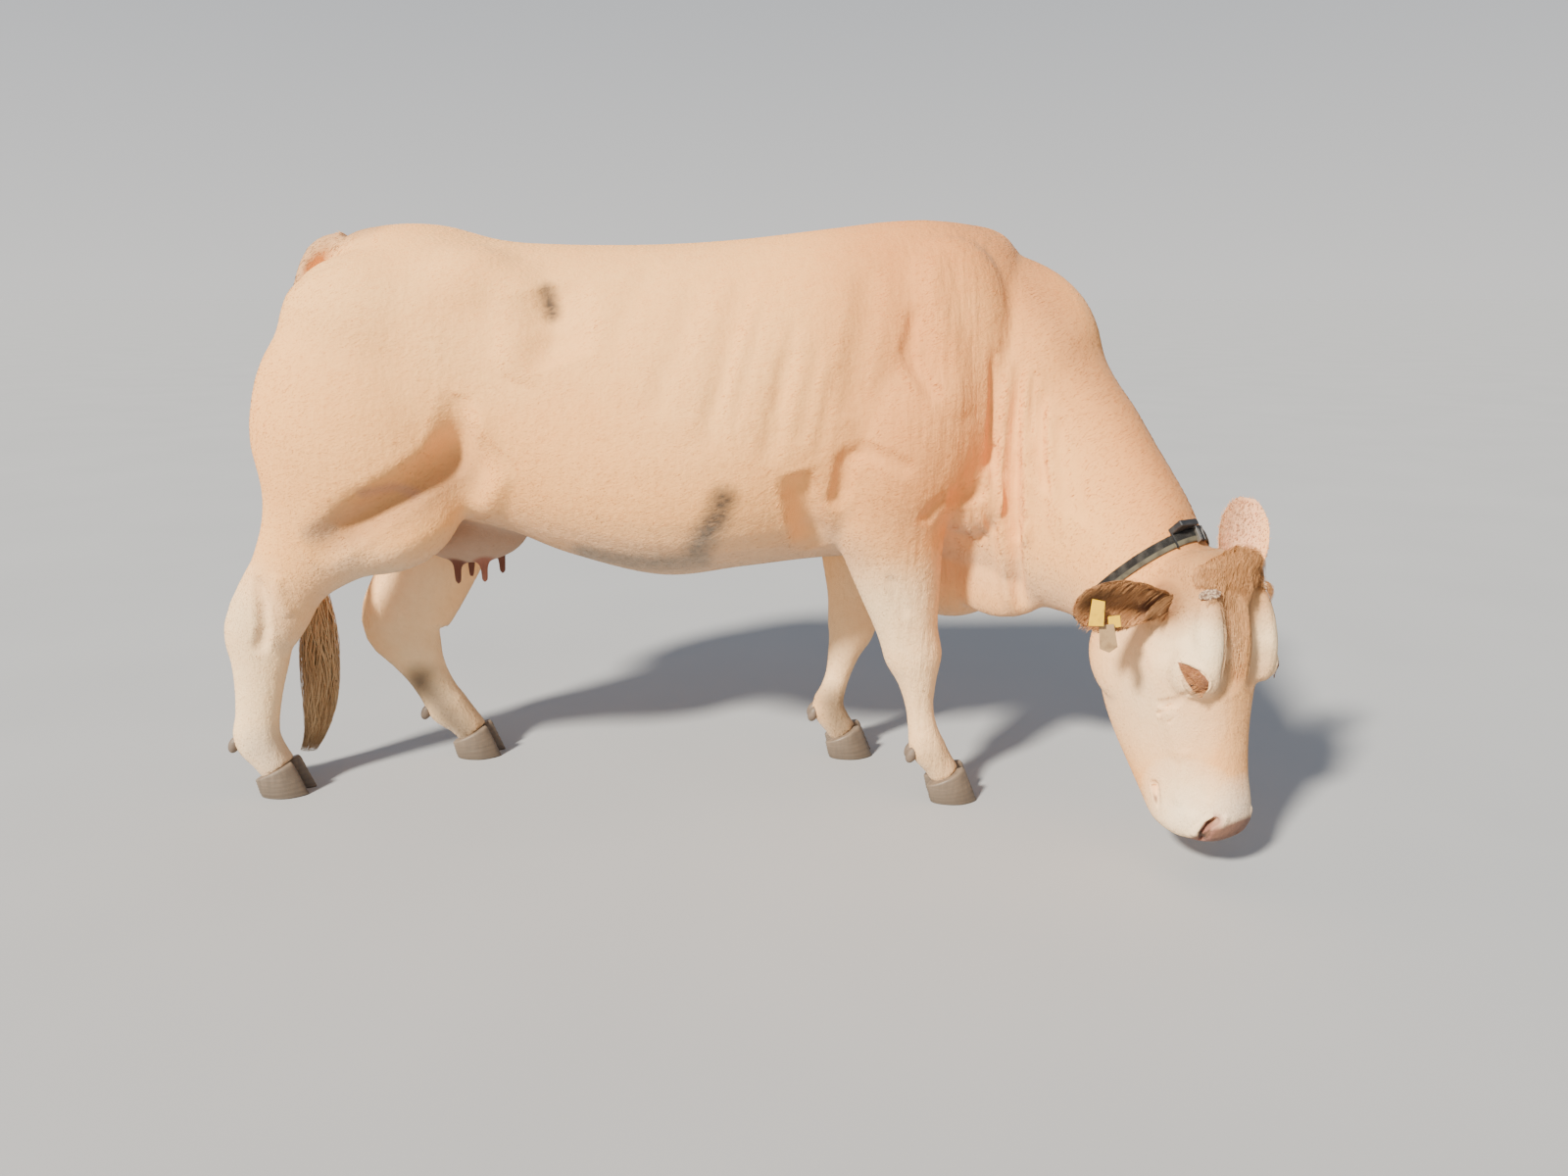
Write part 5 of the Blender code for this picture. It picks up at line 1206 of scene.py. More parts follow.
def poll_hair(tree, coat_map, chance):
    """The tuft of the poll, falling over the forehead."""
    face = head_frame()
    turn = face.to_3x3()
    count, length, width, stand = POLL_HAIR
    rows = []
    for _ in range(count):
        side = -0.165 + 0.285 * chance.uniform(0, 1) ** 0.75
        low = chance.uniform(0, 1) ** 1.3
        edge = 0.012 * math.sin(70 * side + 1) + 0.008 * math.sin(170 * side)
        right = np.clip((side - 0.03) / 0.07, 0, 1)
        lean = -0.50 * (1 - right) + 0.10 * right
        full = np.clip((side + 0.165) / 0.16, 0, 1) ** 1.3
        rows.append((
            face @ Vector((-0.060 + (0.105 + edge) * low, side, 0.02)),
            turn @ Vector((0.75, 0.60 * right + 0.05 + chance.normal(0, 0.16), 0.30)),
            turn @ Vector((1.0, lean + chance.normal(0, 0.14), 0)),
            length * chance.uniform(0.55, 1.1) * (0.45 + 0.55 * full) * (1.1 - 0.45 * low),
            stand * (0.03 + 0.97 * full) * (1 - 0.62 * low) * (1 - 0.15 * right),
            max(1 - full, 0.55 * low ** 2),
        ))
    paths, outs, fades = grown_paths(tree, rows, chance, 0.10)
    shade = chance.uniform(0.72, 1.22, (count, 1))
    coat_tint = painted(paths[:, 1], outs[:, 1]) * (0.7 + 0.3 * shade)
    roots, tips = faded(POLL_TINTS, shade, (coat_tint, painted(paths[:, -1], outs[:, -1])), fades)
    patches = coat_map.patch_of(paths[:, 1])
    made = []
    for number, part in enumerate(np.array_split(np.arange(count), 2)):
        made.append(lock_mesh(f"poll_tuft_{number + 1}", paths[part], outs[part], width, 0.5,
                              roots[part], tips[part], patches[part]))
    return made


def face_strands(tree, coat_map, chance):
    """The strands down the middle of the face, half of them spread between the brows."""
    face = head_frame()
    turn = face.to_3x3()
    count, length, width, stand = FACE_HAIR
    rows = []
    for _ in range(count):
        down = chance.uniform(0.02, 0.17)
        ridge = 0.006 + chance.choice((-0.014, 0.0, 0.016))
        side = ridge + chance.normal(0, 0.005 + 0.06 * (0.18 - down))
        spread = chance.uniform(0, 1) < 0.5
        if spread:
            down = chance.uniform(0.05, 0.23)
            side = np.clip(chance.normal(-0.015, 0.030), -0.078, 0.044)
        fade = max(np.clip(abs(side + 0.01) / 0.05, 0, 1), np.clip((down - 0.10) / 0.12, 0, 1))
        rows.append((
            face @ Vector((down, side, 0.04)),
            turn @ Vector((1.0, chance.normal(0.02, 0.10), 0)),
            turn @ Vector((1.0, chance.normal(-0.03, 0.08), 0)),
            length * chance.uniform(0.4, 1.0) * (0.5 if spread else 1.15 - 3.0 * down),
            stand,
            fade * 0.85,
        ))
    paths, outs, fades = grown_paths(tree, rows, chance, 0.06)
    shade = chance.uniform(0.75, 1.15, (count, 1))
    coat_tint = painted(paths[:, 1], outs[:, 1]) * (0.6 + 0.4 * shade) * 0.85
    roots, tips = faded(FACE_TINTS, shade, (coat_tint, painted(paths[:, -1], outs[:, -1])), fades)
    return lock_mesh("face_strands", paths, outs, width, 0.45, roots, tips,
                     coat_map.patch_of(paths[:, 1]))


def ear_hair(label, tree, coat_map, chance):
    """Long hair in the hollow and along the edges of an ear, lying towards the tip and hanging."""
    base, axis, hollow, across, reach = ear_axes(label)
    across = across if across.z < 0 else -across
    near = label == "right"
    count, length, width, stand = EAR_HAIR
    count, length = (count, length) if near else (count // 4, length * 0.35)
    ear_places, ear_halves, _ = np.array(EAR).T
    rows = []
    for _ in range(count):
        share = chance.uniform(-0.06, 0.93)
        half = np.interp(share * ear_places[-1], ear_places, ear_halves)
        t = np.clip(chance.normal(-0.05, 0.62), -1, 0.92)
        heading = axis + across * (0.35 * near + t * 0.20 + chance.normal(0, 0.12)) + hollow * 0.06
        low = max(t, 0.0)
        dark = math.exp(-((share - 0.72) / 0.16) ** 2 - ((t + 0.15) / 0.45) ** 2)
        dark = max(dark, math.exp(-((share + 0.02) / 0.10) ** 2) * 0.7)
        rows.append((
            base + axis * (share * reach) + across * (half * t) + hollow * 0.012,
            heading,
            heading + Vector((0, 0, -0.75 if near else -0.1)),
            length * chance.uniform(0.5, 1.0) * (1 - 0.62 * low) * (1.15 - 0.6 * max(share, 0)),
            stand,
            chance.uniform(0.72, 1.22) * (1 - 0.55 * dark) * (1 + 0.30 * low),
        ))
    paths, outs, shades = grown_paths(tree, rows, chance, 0.05, False)
    root, tip = (np.array(tint) * shades[:, None] for tint in EAR_TINTS[label])
    return lock_mesh(label + "_ear_hair", paths, outs, width, 0.4, root, tip,
                     coat_map.patch_of(paths[:, 1]))


def brush(coat_map, chance):
    """The tail's long hair: locks round the core, hanging straight to the tip."""
    rows = smooth_path(SWITCH, 0.02)
    count, width, rings = BRUSH_HAIR
    paths, outs = [], []
    for _ in range(count):
        begin = int(chance.uniform(0, 1) ** 0.8 * 0.72 * (len(rows) - 1))
        around = chance.uniform(0, 2 * math.pi)
        depth = chance.uniform(0.25, 1.0) ** 0.5
        end = min(len(rows) - 1, begin + int(len(rows) * chance.uniform(0.30, 0.75)) + 2)
        sway = chance.uniform(0, 6.3)
        path, facing = [], []
        for k in range(rings):
            at = begin + (end - begin) * k / (rings - 1)
            low = int(at)
            row = rows[low] + (rows[min(low + 1, len(rows) - 1)] - rows[low]) * (at - low)
            spread = 1.0 + 0.35 * math.sin(math.pi * k / (rings - 1))
            turn = around + 0.25 * math.sin(sway + k * 0.7)
            out = Vector((math.cos(turn), math.sin(turn), 0))
            size = 0.35 if k == 0 else depth * spread
            path.append((row[0] + out.x * (row[3] * size + 0.002 * k),
                         row[1] + out.y * (row[4] * size + 0.001 * k), row[2] - 0.012 * k / rings))
            facing.append(tuple(out))
        paths.append(path)
        outs.append(facing)
    paths, outs = np.array(paths), np.array(outs)
    tone = chance.uniform(0, 1, (count, 1))
    root, tip = (np.array(dark) * (1 - tone) + np.array(light) * tone for dark, light in BRUSH_TINTS)
    return lock_mesh("brush_hair", paths, outs, width, 0.4, root, tip,
                     coat_map.patch_of(paths[:, 1]))


def lashes(coat_map, chance):
    """Eyelashes over the slit of each eye, and the short hair of its upper lid."""
    count, length, width = LASHES
    slit_places, slit_tops, _ = np.array(SLIT).T
    leaf_places, leaf_tops, _ = np.array(LEAF).T
    paths, outs, shades = [], [], []
    for side in BOTH:
        centre, along, across, out = eye_axes(side)
        for i in range(count):
            lid_hair = i % 5 > 0
            if lid_hair:
                p = chance.uniform(leaf_places[0] + 0.012, leaf_places[-1])
                q = chance.uniform(np.interp(p, slit_places, slit_tops), np.interp(p, leaf_places, leaf_tops))
            else:
                p = chance.uniform(slit_places[0], slit_places[-1])
                q = np.interp(p, slit_places, slit_tops) + 0.0005
            height = math.sqrt(max(EYE_RADIUS ** 2 - p * p - q * q, 1e-4))
            lift = 0.0036 if lid_hair else 0.0015
            root = centre + along * p + across * q + out * (height + lift)
            heading = along * (p * 4 - 0.4) - across + out * (0.25 if lid_hair else 0.7)
            heading = heading / np.linalg.norm(heading)
            reach = length * chance.uniform(0.6, 1.1) * (0.45 if lid_hair else 1)
            paths.append([root + heading * (reach * t) - across * (0.35 * reach * t * t)
                          for t in np.linspace(0, 1, 5)])
            outs.append([out] * 5)
            shades.append(chance.uniform(0.45, 1.35))
    paths, shades = np.array(paths), np.array(shades)[:, None]
    outs = np.array(outs) @ np.array(head_frame())[:3, :3].T
    paths = to_body(paths.reshape(-1, 3)).reshape(paths.shape)
    root, tip = (np.array(tint) * shades for tint in LASH_TINTS)
    return lock_mesh("lashes", paths, outs, width, 0.6, root, tip, coat_map.patch_of(paths[:, 0]))


def eye_ball(side, name):
    """A smooth eye: dark iris, wide level pupil and a brown rim, by how far a point is from its axis."""
    rings, sides = 48, 64
    centre, level, other, axis = eye_axes(side)
    points, colours = [], []
    for i in range(rings + 1):
        tilt = math.pi * i / rings
        for k in range(sides):
            turn = 2 * math.pi * k / sides
            around = level * math.cos(turn) + other * math.sin(turn)
            way = axis * math.cos(tilt) + around * math.sin(tilt)
            bulge = 1 + 0.03 * math.exp(-(tilt / 0.55) ** 4)
            points.append(centre + way * EYE_RADIUS * bulge)
            u, v = math.sin(tilt) * math.cos(turn), math.sin(tilt) * math.sin(turn)
            pupil = (u / 0.36) ** 2 + ((v + 0.2) / 0.20) ** 2
            streak = 0.75 + 0.25 * math.sin(turn * 37) * math.sin(turn * 11 + 1)
            if math.cos(tilt) < 0:
                tint = (0.20, 0.08, 0.05)
            elif pupil < 1:
                tint = (0.004, 0.004, 0.006)
            elif math.sin(tilt) < 0.72:
                tint = (0.060 * streak, 0.024 * streak, 0.010 * streak)
            else:
                tint = (0.13, 0.055, 0.035)
            colours.append(tint)
    faces = [(i * sides + k, i * sides + (k + 1) % sides,
              (i + 1) * sides + (k + 1) % sides, (i + 1) * sides + k)
             for i in range(rings) for k in range(sides)]
    made = mesh_of(name, to_body(np.array(points)), np.array(faces)[:, ::-1], np.array(colours))
    return turned_out(made, weld=1e-7)


def hoof(name, stations, side):
    """One claw: a sole, a curved wall with growth rings and a slanting coronet."""
    x, y = stations[-1][:2]
    sides, levels = 40, 18
    slope = math.atan2(CORONET_FRONT - CORONET_HEEL, CLAW_LENGTH * 0.8)
    heights, shifts, shrinks = np.array(CLAW_LEVELS).T
    rings, shades = [], []
    for i in range(levels + 1):
        share = i / levels
        ring = []
        for k in range(sides):
            turn = 2 * math.pi * k / sides
            ahead = math.cos(turn)
            top = (CORONET_FRONT + CORONET_HEEL) / 2 + math.tan(slope) * CLAW_LENGTH / 2 * ahead * 0.9
            z = top * share
            shift = np.interp(z, heights, shifts)
            shrink = np.interp(z, heights, shrinks) + 0.010 * math.sin(share * 38) * (0 < share < 1)
            if i == levels:
                shrink *= 0.93
            point = 1 - 0.35 * max(0, ahead) ** 2
            curl = -side * 0.006 * max(0, ahead) ** 2
            across = CLAW_WIDTH / 2 * math.sin(turn) * point * shrink
            ring.append(Vector((x + shift + CLAW_LENGTH / 2 * ahead * shrink,
                                y + side * (CLAW_WIDTH + TOE_SPLIT) / 2 + across + curl, z)))
            light = 0.55 + 0.45 * share + 0.10 * math.sin(share * 40)
            shades.append((0.20 * light, 0.145 * light, 0.10 * light))
        rings.append(ring)
    made = loft(name, rings)
    store_colours(made.data, np.array(shades))
    for face in made.data.polygons:
        face.use_smooth = len(face.vertices) == 4
    return made


def dew_claws(name, stations, height, tree):
    """The two small claws behind a fetlock, set on the skin."""
    row = min(stations, key=lambda station: abs(station[2] - height))
    bm = bmesh.new()
    for side in BOTH:
        behind = Vector((row[0] - row[3] * 1.5, row[1] + side * 0.030, row[2] - 0.020))
        centre = tree.find_nearest(behind)[0] + Vector((-0.002, 0, -0.004))
        place = Matrix.Translation(centre) @ Matrix.Rotation(math.radians(24), 4, "Y")
        bmesh.ops.create_uvsphere(bm, u_segments=20, v_segments=14, radius=1,
                                  matrix=place @ Matrix.Diagonal((0.014, 0.014, 0.023, 1)))
    for face in bm.faces:
        face.smooth = True
    made = object_of(name, bm)
    store_colours(made.data, np.tile((0.17, 0.12, 0.085), (len(made.data.vertices), 1)))
    return made


def horn_scar(name, side, tree, chance):
    """The crusty rest of a horn: flat pale flakes lying over each other on the skin."""
    face = head_frame()
    bm = bmesh.new()
    for down, across, sizes, turn, tilt in FLAKES:
        spot, out = tree.find_nearest(face @ Vector((down, side * across, 0.02)))[:2]
        along = (FACE_DOWN - out * FACE_DOWN.dot(out)).normalized()
        place = Matrix((along, out.cross(along), out)).transposed().to_4x4()
        place.translation = spot + out * 0.003
        place = place @ Matrix.Rotation(math.radians(turn), 4, "Z")
        place = place @ Matrix.Rotation(math.radians(tilt), 4, "X") @ Matrix.Diagonal((*sizes, 1))
        bmesh.ops.create_icosphere(bm, subdivisions=4, radius=1, matrix=place)
    for vertex in bm.verts:
        x, y, z = vertex.co * 620
        rough = math.sin(x + 2 * math.sin(y)) * math.sin(y * 1.3 + z) + math.sin(z * 2.1 + x)
        vertex.co += vertex.normal * 0.0009 * rough
    made = object_of(name, bm)
    count = len(made.data.vertices)
    store_colours(made.data, np.tile((0.66, 0.48, 0.32), (count, 1)) * chance.uniform(0.8, 1.1, (count, 1)))
    return made


def strap(skin_tree, neck_core):
    """The collar: a woven band laid round the neck in the plane behind the poll, and the keepers on it."""
    plane = head_cut()
    sides, rows = 160, 9
    left, other = (plane.to_3x3() @ Vector(axis) for axis in ((1, 0, 0), (0, 1, 0)))
    heart = plane.inverted() @ neck_core
    levels = [-1 + 2 * r / (rows - 1) for r in range(rows)]

    def way(k):
        turn = 2 * math.pi * k / sides
        return left * math.cos(turn) + other * math.sin(turn)

    def middle(t):
        return plane @ Vector((heart.x, heart.y, STRAP_MIDDLE + STRAP_WIDTH / 2 * t))

    distances = []
    for k in range(sides):
        hits = [skin_tree.ray_cast(middle(t), way(k)) for t in levels]
        distances.append([hit[3] if hit[0] else 0.15 for hit in hits])
    distances = np.array(distances)
    for _ in range(3):
        distances = (np.roll(distances, 1, 0) + distances * 2 + np.roll(distances, -1, 0)) / 4
    distances = np.maximum(distances, distances.mean(1, keepdims=True) - 0.004)

    def place(k, t, height):
        """A point over the band: k sides round it, t across it from -1 to 1."""
        low = int(math.floor(k))
        columns = distances[low % sides] * (1 - k + low) + distances[(low + 1) % sides] * (k - low)
        reach = np.interp((t + 1) / 2 * (rows - 1), range(rows), columns) + 0.002 + height
        return middle(t) + way(k) * reach

    profile = [(t, 0.0052 - 0.0022 * abs(t) ** 4) for t in levels] + [(-t, 0.0004) for t in levels]
    points = [place(k, t, thick) for k in range(sides) for t, thick in profile]
    count = len(profile)
    faces = [(k * count + i, k * count + (i + 1) % count,
              (k + 1) % sides * count + (i + 1) % count, (k + 1) % sides * count + i)
             for k in range(sides) for i in range(count)]
    band = closed_mesh("strap", points, faces)
    lay = [(k / sides, (t + 1) / 2, thick * 100) for k in range(sides) for t, thick in profile]
    layer = band.data.attributes.new("lay", "FLOAT_VECTOR", "POINT")
    layer.data.foreach_set("vector", np.array(lay, np.float32).ravel())

    clasp = Vector(middle_of("collar_buckle")) - SHIFT
    at = min(range(sides), key=lambda k: (place(k, 0, 0) - clasp).length)
    step = 1 if place(at + 6, 0, 0).x > place(at - 6, 0, 0).x else -1
    keepers = []
    for name, away, half, wide, high in KEEPERS:
        ring = [(-wide, 0.001), (-wide, high * 0.8), (-wide * 0.9, high)]
        ring += [(-t, h) for t, h in ring[::-1]]
        points = [place(at + step * (away + half * a), t, h * shrink)
                  for a, shrink in ((-1.0, 0.86), (-0.8, 1.0), (0.8, 1.0), (1.0, 0.86))
                  for t, h in ring]
        faces = [(6 * j + i, 6 * j + (i + 1) % 6, 6 * j + 6 + (i + 1) % 6, 6 * j + 6 + i)
                 for j in range(3) for i in range(6)]
        faces += [(0, 1, 4, 5), (1, 2, 3, 4), (18, 19, 22, 23), (19, 20, 21, 22)]
        keepers.append(closed_mesh("collar_" + name, points, faces, False))
    return band, keepers


class Nodes:
    """A material's nodes, added and joined by short calls."""

    def __init__(self, name, roughness, **settings):
        self.material = bpy.data.materials.new(name)
        self.material.use_nodes = True
        self.tree = self.material.node_tree
        self.shader = self.tree.nodes["Principled BSDF"]
        self.shader.inputs["Roughness"].default_value = roughness
        for key, value in settings.items():
            self.shader.inputs[key.replace("_", " ")].default_value = value

    def set(self, node, key, value):
        """A socket takes another's output, or a value."""
        if isinstance(value, bpy.types.NodeSocket):
            self.tree.links.new(value, node.inputs[key])
        else:
            node.inputs[key].default_value = value

    def add(self, kind, inputs=(), **settings):
        node = self.tree.nodes.new("ShaderNode" + kind)
        for key, value in settings.items():
            setattr(node, key, value)
        for key, value in dict(inputs).items():
            self.set(node, key, value)
        return node

    def feed(self, socket, output):
        self.tree.links.new(output, self.shader.inputs[socket])

    def paint(self):
        """The colour stored on the mesh."""
        return self.add("Attribute", attribute_name="coat").outputs["Color"]

    def noise(self, scale, detail=3.0, stretch=(1, 1, 1), distortion=0.0):
        """A noise value over the surface, by where a point is in the cow's frame."""
        place = self.add("TexCoord").outputs["Object"]
        laid = self.add("Mapping", {"Vector": place, "Scale": stretch}).outputs["Vector"]
        return self.add("TexNoise", {"Vector": laid, "Scale": scale, "Detail": detail,
                                     "Distortion": distortion}).outputs["Fac"]

    def ramp(self, value, low, high, low_to=0.0, high_to=1.0):
        return self.add("MapRange", {"Value": value, "From Min": low, "From Max": high,
                                     "To Min": low_to, "To Max": high_to}).outputs["Result"]

    def math(self, operation, a, b):
        return self.add("Math", {0: a, 1: b}, operation=operation).outputs[0]

    def mix(self, share, a, b, kind="MIX"):
        """Two colours mixed, each a socket or a plain colour. Their sockets are 6 and 7."""
        node = self.add("Mix", {0: share}, data_type="RGBA", blend_type=kind)
        for index, value in ((6, a), (7, b)):
            self.set(node, index, (*value, 1.0) if isinstance(value, tuple) else value)
        return node.outputs[2]

    def bump(self, heights):
        """Bumps laid one on the other: pairs of a height and its distance in metres."""
        normal = {}
        for height, distance in heights:
            inputs = {"Height": height, "Distance": distance, "Strength": 1.0, **normal}
            normal = {"Normal": self.add("Bump", inputs).outputs["Normal"]}
        self.feed("Normal", normal["Normal"])


def coat_colour(nodes):
    """The painted colour, mottled in the same way on the skin and on its coat."""
    broad = nodes.ramp(nodes.noise(4.0, 4.0, distortion=0.6), 0.3, 0.7, 0.0, 0.30)
    warm = nodes.mix(broad, nodes.paint(), (0.95, 0.76, 0.58), "MULTIPLY")
    fine = nodes.ramp(nodes.noise(38.0, 4.0), 0.35, 0.7, 0.0, 0.16)
    return nodes.mix(fine, warm, (0.84, 0.66, 0.50), "MULTIPLY")


def skin_material():
    nodes = Nodes("skin_with_short_coat", 0.78, Sheen_Weight=0.08, Sheen_Roughness=0.5,
                  Specular_IOR_Level=0.2)
    nodes.feed("Base Color", coat_colour(nodes))
    hair = nodes.noise(420.0, 2.0, (0.30, 1.0, 0.6))
    grain = nodes.noise(900.0, 2.0)
    folds = nodes.noise(24.0, 3.0, (1.6, 1.0, 0.6), 0.5)
    place = nodes.add("SeparateXYZ", {0: nodes.add("TexCoord").outputs["Object"]}).outputs["X"]
    neck = nodes.math("MULTIPLY", nodes.ramp(place, 0.36, 0.50), nodes.ramp(place, 0.80, 0.62))
    creased = nodes.noise(46.0, 3.0, (1.0, 0.5, 0.10), 0.3)
    wrinkles = nodes.math("MULTIPLY", creased, nodes.math("ADD", neck, 0.22))
    nap = nodes.noise(150.0, 3.0, (0.5, 1.0, 0.35), 0.3)
    nodes.bump(((wrinkles, 0.0055), (folds, 0.0016), (nap, 0.0018), (hair, 0.0011), (grain, 0.0003)))
    return nodes.material


def hair_material(name, roughness):
    nodes = Nodes(name, roughness, Specular_IOR_Level=0.3)
    nodes.feed("Base Color", coat_colour(nodes))
    return nodes.material


def horn_material():
    nodes = Nodes("hoof_horn", 0.5)
    streak = nodes.ramp(nodes.noise(90.0, 4.0, (1.0, 1.0, 0.12)), 0.35, 0.7, 0.0, 0.6)
    nodes.feed("Base Color", nodes.mix(streak, nodes.paint(), MUD))
    rings = nodes.noise(30.0, 2.0, (0.2, 0.2, 3.5))
    nodes.bump(((rings, 0.0015), (nodes.noise(400.0, 2.0, (1, 1, 0.1)), 0.0004)))
    nodes.feed("Roughness", nodes.ramp(nodes.noise(60.0, 3.0), 0.3, 0.7, 0.42, 0.68))
    return nodes.material


def crust_material():
    nodes = Nodes("horn_crust", 0.85)
    crack = nodes.ramp(nodes.noise(160.0, 4.0), 0.40, 0.62)
    nodes.feed("Base Color", nodes.mix(crack, (0.16, 0.09, 0.055), nodes.paint()))
    nodes.bump(((nodes.noise(260.0, 4.0), 0.0018),))
    return nodes.material


def eye_material():
    nodes = Nodes("wet_eye", 0.06, Coat_Weight=1.0, Coat_Roughness=0.03)
    nodes.feed("Base Color", nodes.paint())
    return nodes.material


def strap_material():
    """Woven webbing: black above, olive and worn along its lower edge."""
    nodes = Nodes("woven_strap", 0.78)
    lay = nodes.add("Attribute", attribute_name="lay").outputs["Vector"]

    def wave(scale, distortion, **settings):
        laid = nodes.add("Mapping", {"Vector": lay, "Scale": scale}).outputs["Vector"]
        inputs = {"Vector": laid, "Scale": 1.0, "Distortion": distortion}
        return nodes.add("TexWave", inputs, **settings).outputs["Fac"]

    weave = wave((330.0, 6.0, 0.0), 0.4)
    rows = wave((0.0, 9.0, 0.0), 0.0, bands_direction="Y")
    worn = nodes.ramp(nodes.noise(45.0, 4.0), 0.42, 0.68)
    black = nodes.mix(worn, (0.020, 0.019, 0.018), (0.090, 0.082, 0.070))
    olive = nodes.mix(worn, (0.26, 0.23, 0.15), (0.13, 0.115, 0.08))
    edge = nodes.ramp(nodes.add("SeparateXYZ", {0: lay}).outputs["Y"], 0.62, 0.68)
    nodes.feed("Base Color", nodes.mix(edge, black, olive))
    nodes.bump(((weave, 0.0007), (rows, 0.0006), (nodes.noise(500.0), 0.0003)))
    return nodes.material


def plastic_material(name, tint, worn_tint, roughness, scale=30.0, metal=0.0):
    """Plastic or metal, paler or darker where it is worn."""
    nodes = Nodes(name, roughness, Metallic=metal)
    worn = nodes.ramp(nodes.noise(scale, 5.0), 0.48, 0.72)
    nodes.feed("Base Color", nodes.mix(worn, tint, worn_tint))
    gloss = nodes.ramp(nodes.noise(scale * 3, 3.0), 0.3, 0.7, roughness - 0.1, roughness + 0.15)
    nodes.feed("Roughness", gloss)
    nodes.bump(((nodes.noise(scale * 20, 2.0), 0.0002),))
    return nodes.material


def floor_material():
    nodes = Nodes("pale_floor", 0.9)
    nodes.feed("Base Color", nodes.mix(nodes.ramp(nodes.noise(1.2, 2.0), 0.3, 0.7), *FLOOR_TONES))
    return nodes.material


def dressed(piece, material, slot, *nodes):
    """Gives a piece its material and its body, and hides the CAD nodes it stands for. The slot is not used.
    """
    piece.data.materials.clear()
    piece.data.materials.append(material)
    piece.data.transform(Matrix.Translation(SHIFT))
    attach(piece, "root")
    if nodes:
        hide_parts(*nodes)


def stage():
    """A pale floor, a plain pale surround that meets it at the horizon, and soft light."""
    bpy.ops.mesh.primitive_plane_add(size=400, location=(0, 0, 0))
    floor = bpy.context.object
    floor.name = "floor"
    floor.data.materials.append(floor_material())
    world = bpy.context.scene.world or bpy.data.worlds.new("world")
    bpy.context.scene.world = world
    world.use_nodes = True
    nodes, links = world.node_tree.nodes, world.node_tree.links
    ramp = nodes.new("ShaderNodeValToRGB")
    for stop, (place, tint) in zip(ramp.color_ramp.elements, SKY):
        stop.position = place
        stop.color = (*tint, 1)
    height = nodes.new("ShaderNodeSeparateXYZ")
    links.new(nodes.new("ShaderNodeTexCoord").outputs["Generated"], height.inputs[0])
    links.new(height.outputs["Z"], ramp.inputs[0])
    links.new(ramp.outputs[0], nodes["Background"].inputs["Color"])
    nodes["Background"].inputs["Strength"].default_value = SKY_STRENGTH
    light = bpy.data.lights.new("key", "SUN")
    light.energy, light.angle, light.color = KEY_ENERGY, KEY_SPREAD, KEY_COLOUR
    lamp = new_object("key", light)
    lamp.rotation_euler = Vector(KEY_WAY).to_track_quat("-Z", "Y").to_euler()


def camera():
    data = bpy.data.cameras.new("camera")
    data.lens = LENS
    data.sensor_width = 36
    made = new_object("camera", data)
    made.location = CAMERA + SHIFT
    made.rotation_euler = (math.radians(90 - PITCH), 0, 0)
    bpy.context.scene.camera = made


def ear_path(label, start=0.0):
    """Two points on an ear's axis: one at a share of its length, and its tip."""
    base, axis, _, length = EAR_PLACES[label]
    reach = np.array(Vector(axis).normalized()) * length
    return np.array(base) + reach * start, np.array(base) + reach


def eye_axes(side):
    """An eye's middle and its axes, along the opening, up across it and out, in the head's frame."""
    fold = np.array((1, side, 1))
    out = np.array(EYE_OUT) / np.linalg.norm(EYE_OUT)
    along = np.array(EYE_ALONG) - out * (np.array(EYE_ALONG) @ out)
    along = along / np.linalg.norm(along)
    return np.array(EYE_PLACE) * fold, along * fold, np.cross(along, out) * fold, out * fold


def inside(p, q, outline):
    """How far a point lies inside an outline of upper and lower edges."""
    place, upper, lower = np.array(outline).T
    edges = np.minimum(np.interp(p, place, upper) - q, q - np.interp(p, place, lower))
    return np.minimum(edges, np.minimum(p - place[0], place[-1] - p))


def on_head(spots):
    """1 on the head, falling smoothly to 0 at the collar."""
    plane = np.array(head_cut().inverted())
    ahead = spots @ plane[2, :3] + plane[2, 3]
    return np.clip((ahead + 0.03) / 0.06, 0, 1) * np.clip((spots[:, 0] - 0.62) / 0.05, 0, 1)


def closed_mesh(name, points, faces, soft=True):
    """An object in the scene from points and faces, its faces turned outwards."""
    mesh = bpy.data.meshes.new(name)
    mesh.from_pydata([tuple(point) for point in points], [], faces)
    return turned_out(new_object(name, mesh), soft)


def place_along(points, path):
    """Distance of each point from a path, and how far along the path its nearest place lies."""
    path = np.array(path, float)
    best = np.full(len(points), 1e9)
    place = np.zeros(len(points))
    before = 0.0
    for start, end in zip(path, path[1:]):
        along = end - start
        span = np.linalg.norm(along)
        share = np.clip((points - start) @ along / span ** 2, 0, 1)
        away = np.linalg.norm(points - start - share[:, None] * along, axis=1)
        place = np.where(away < best, before + share * span, place)
        best = np.minimum(best, away)
        before += span
    return best, place


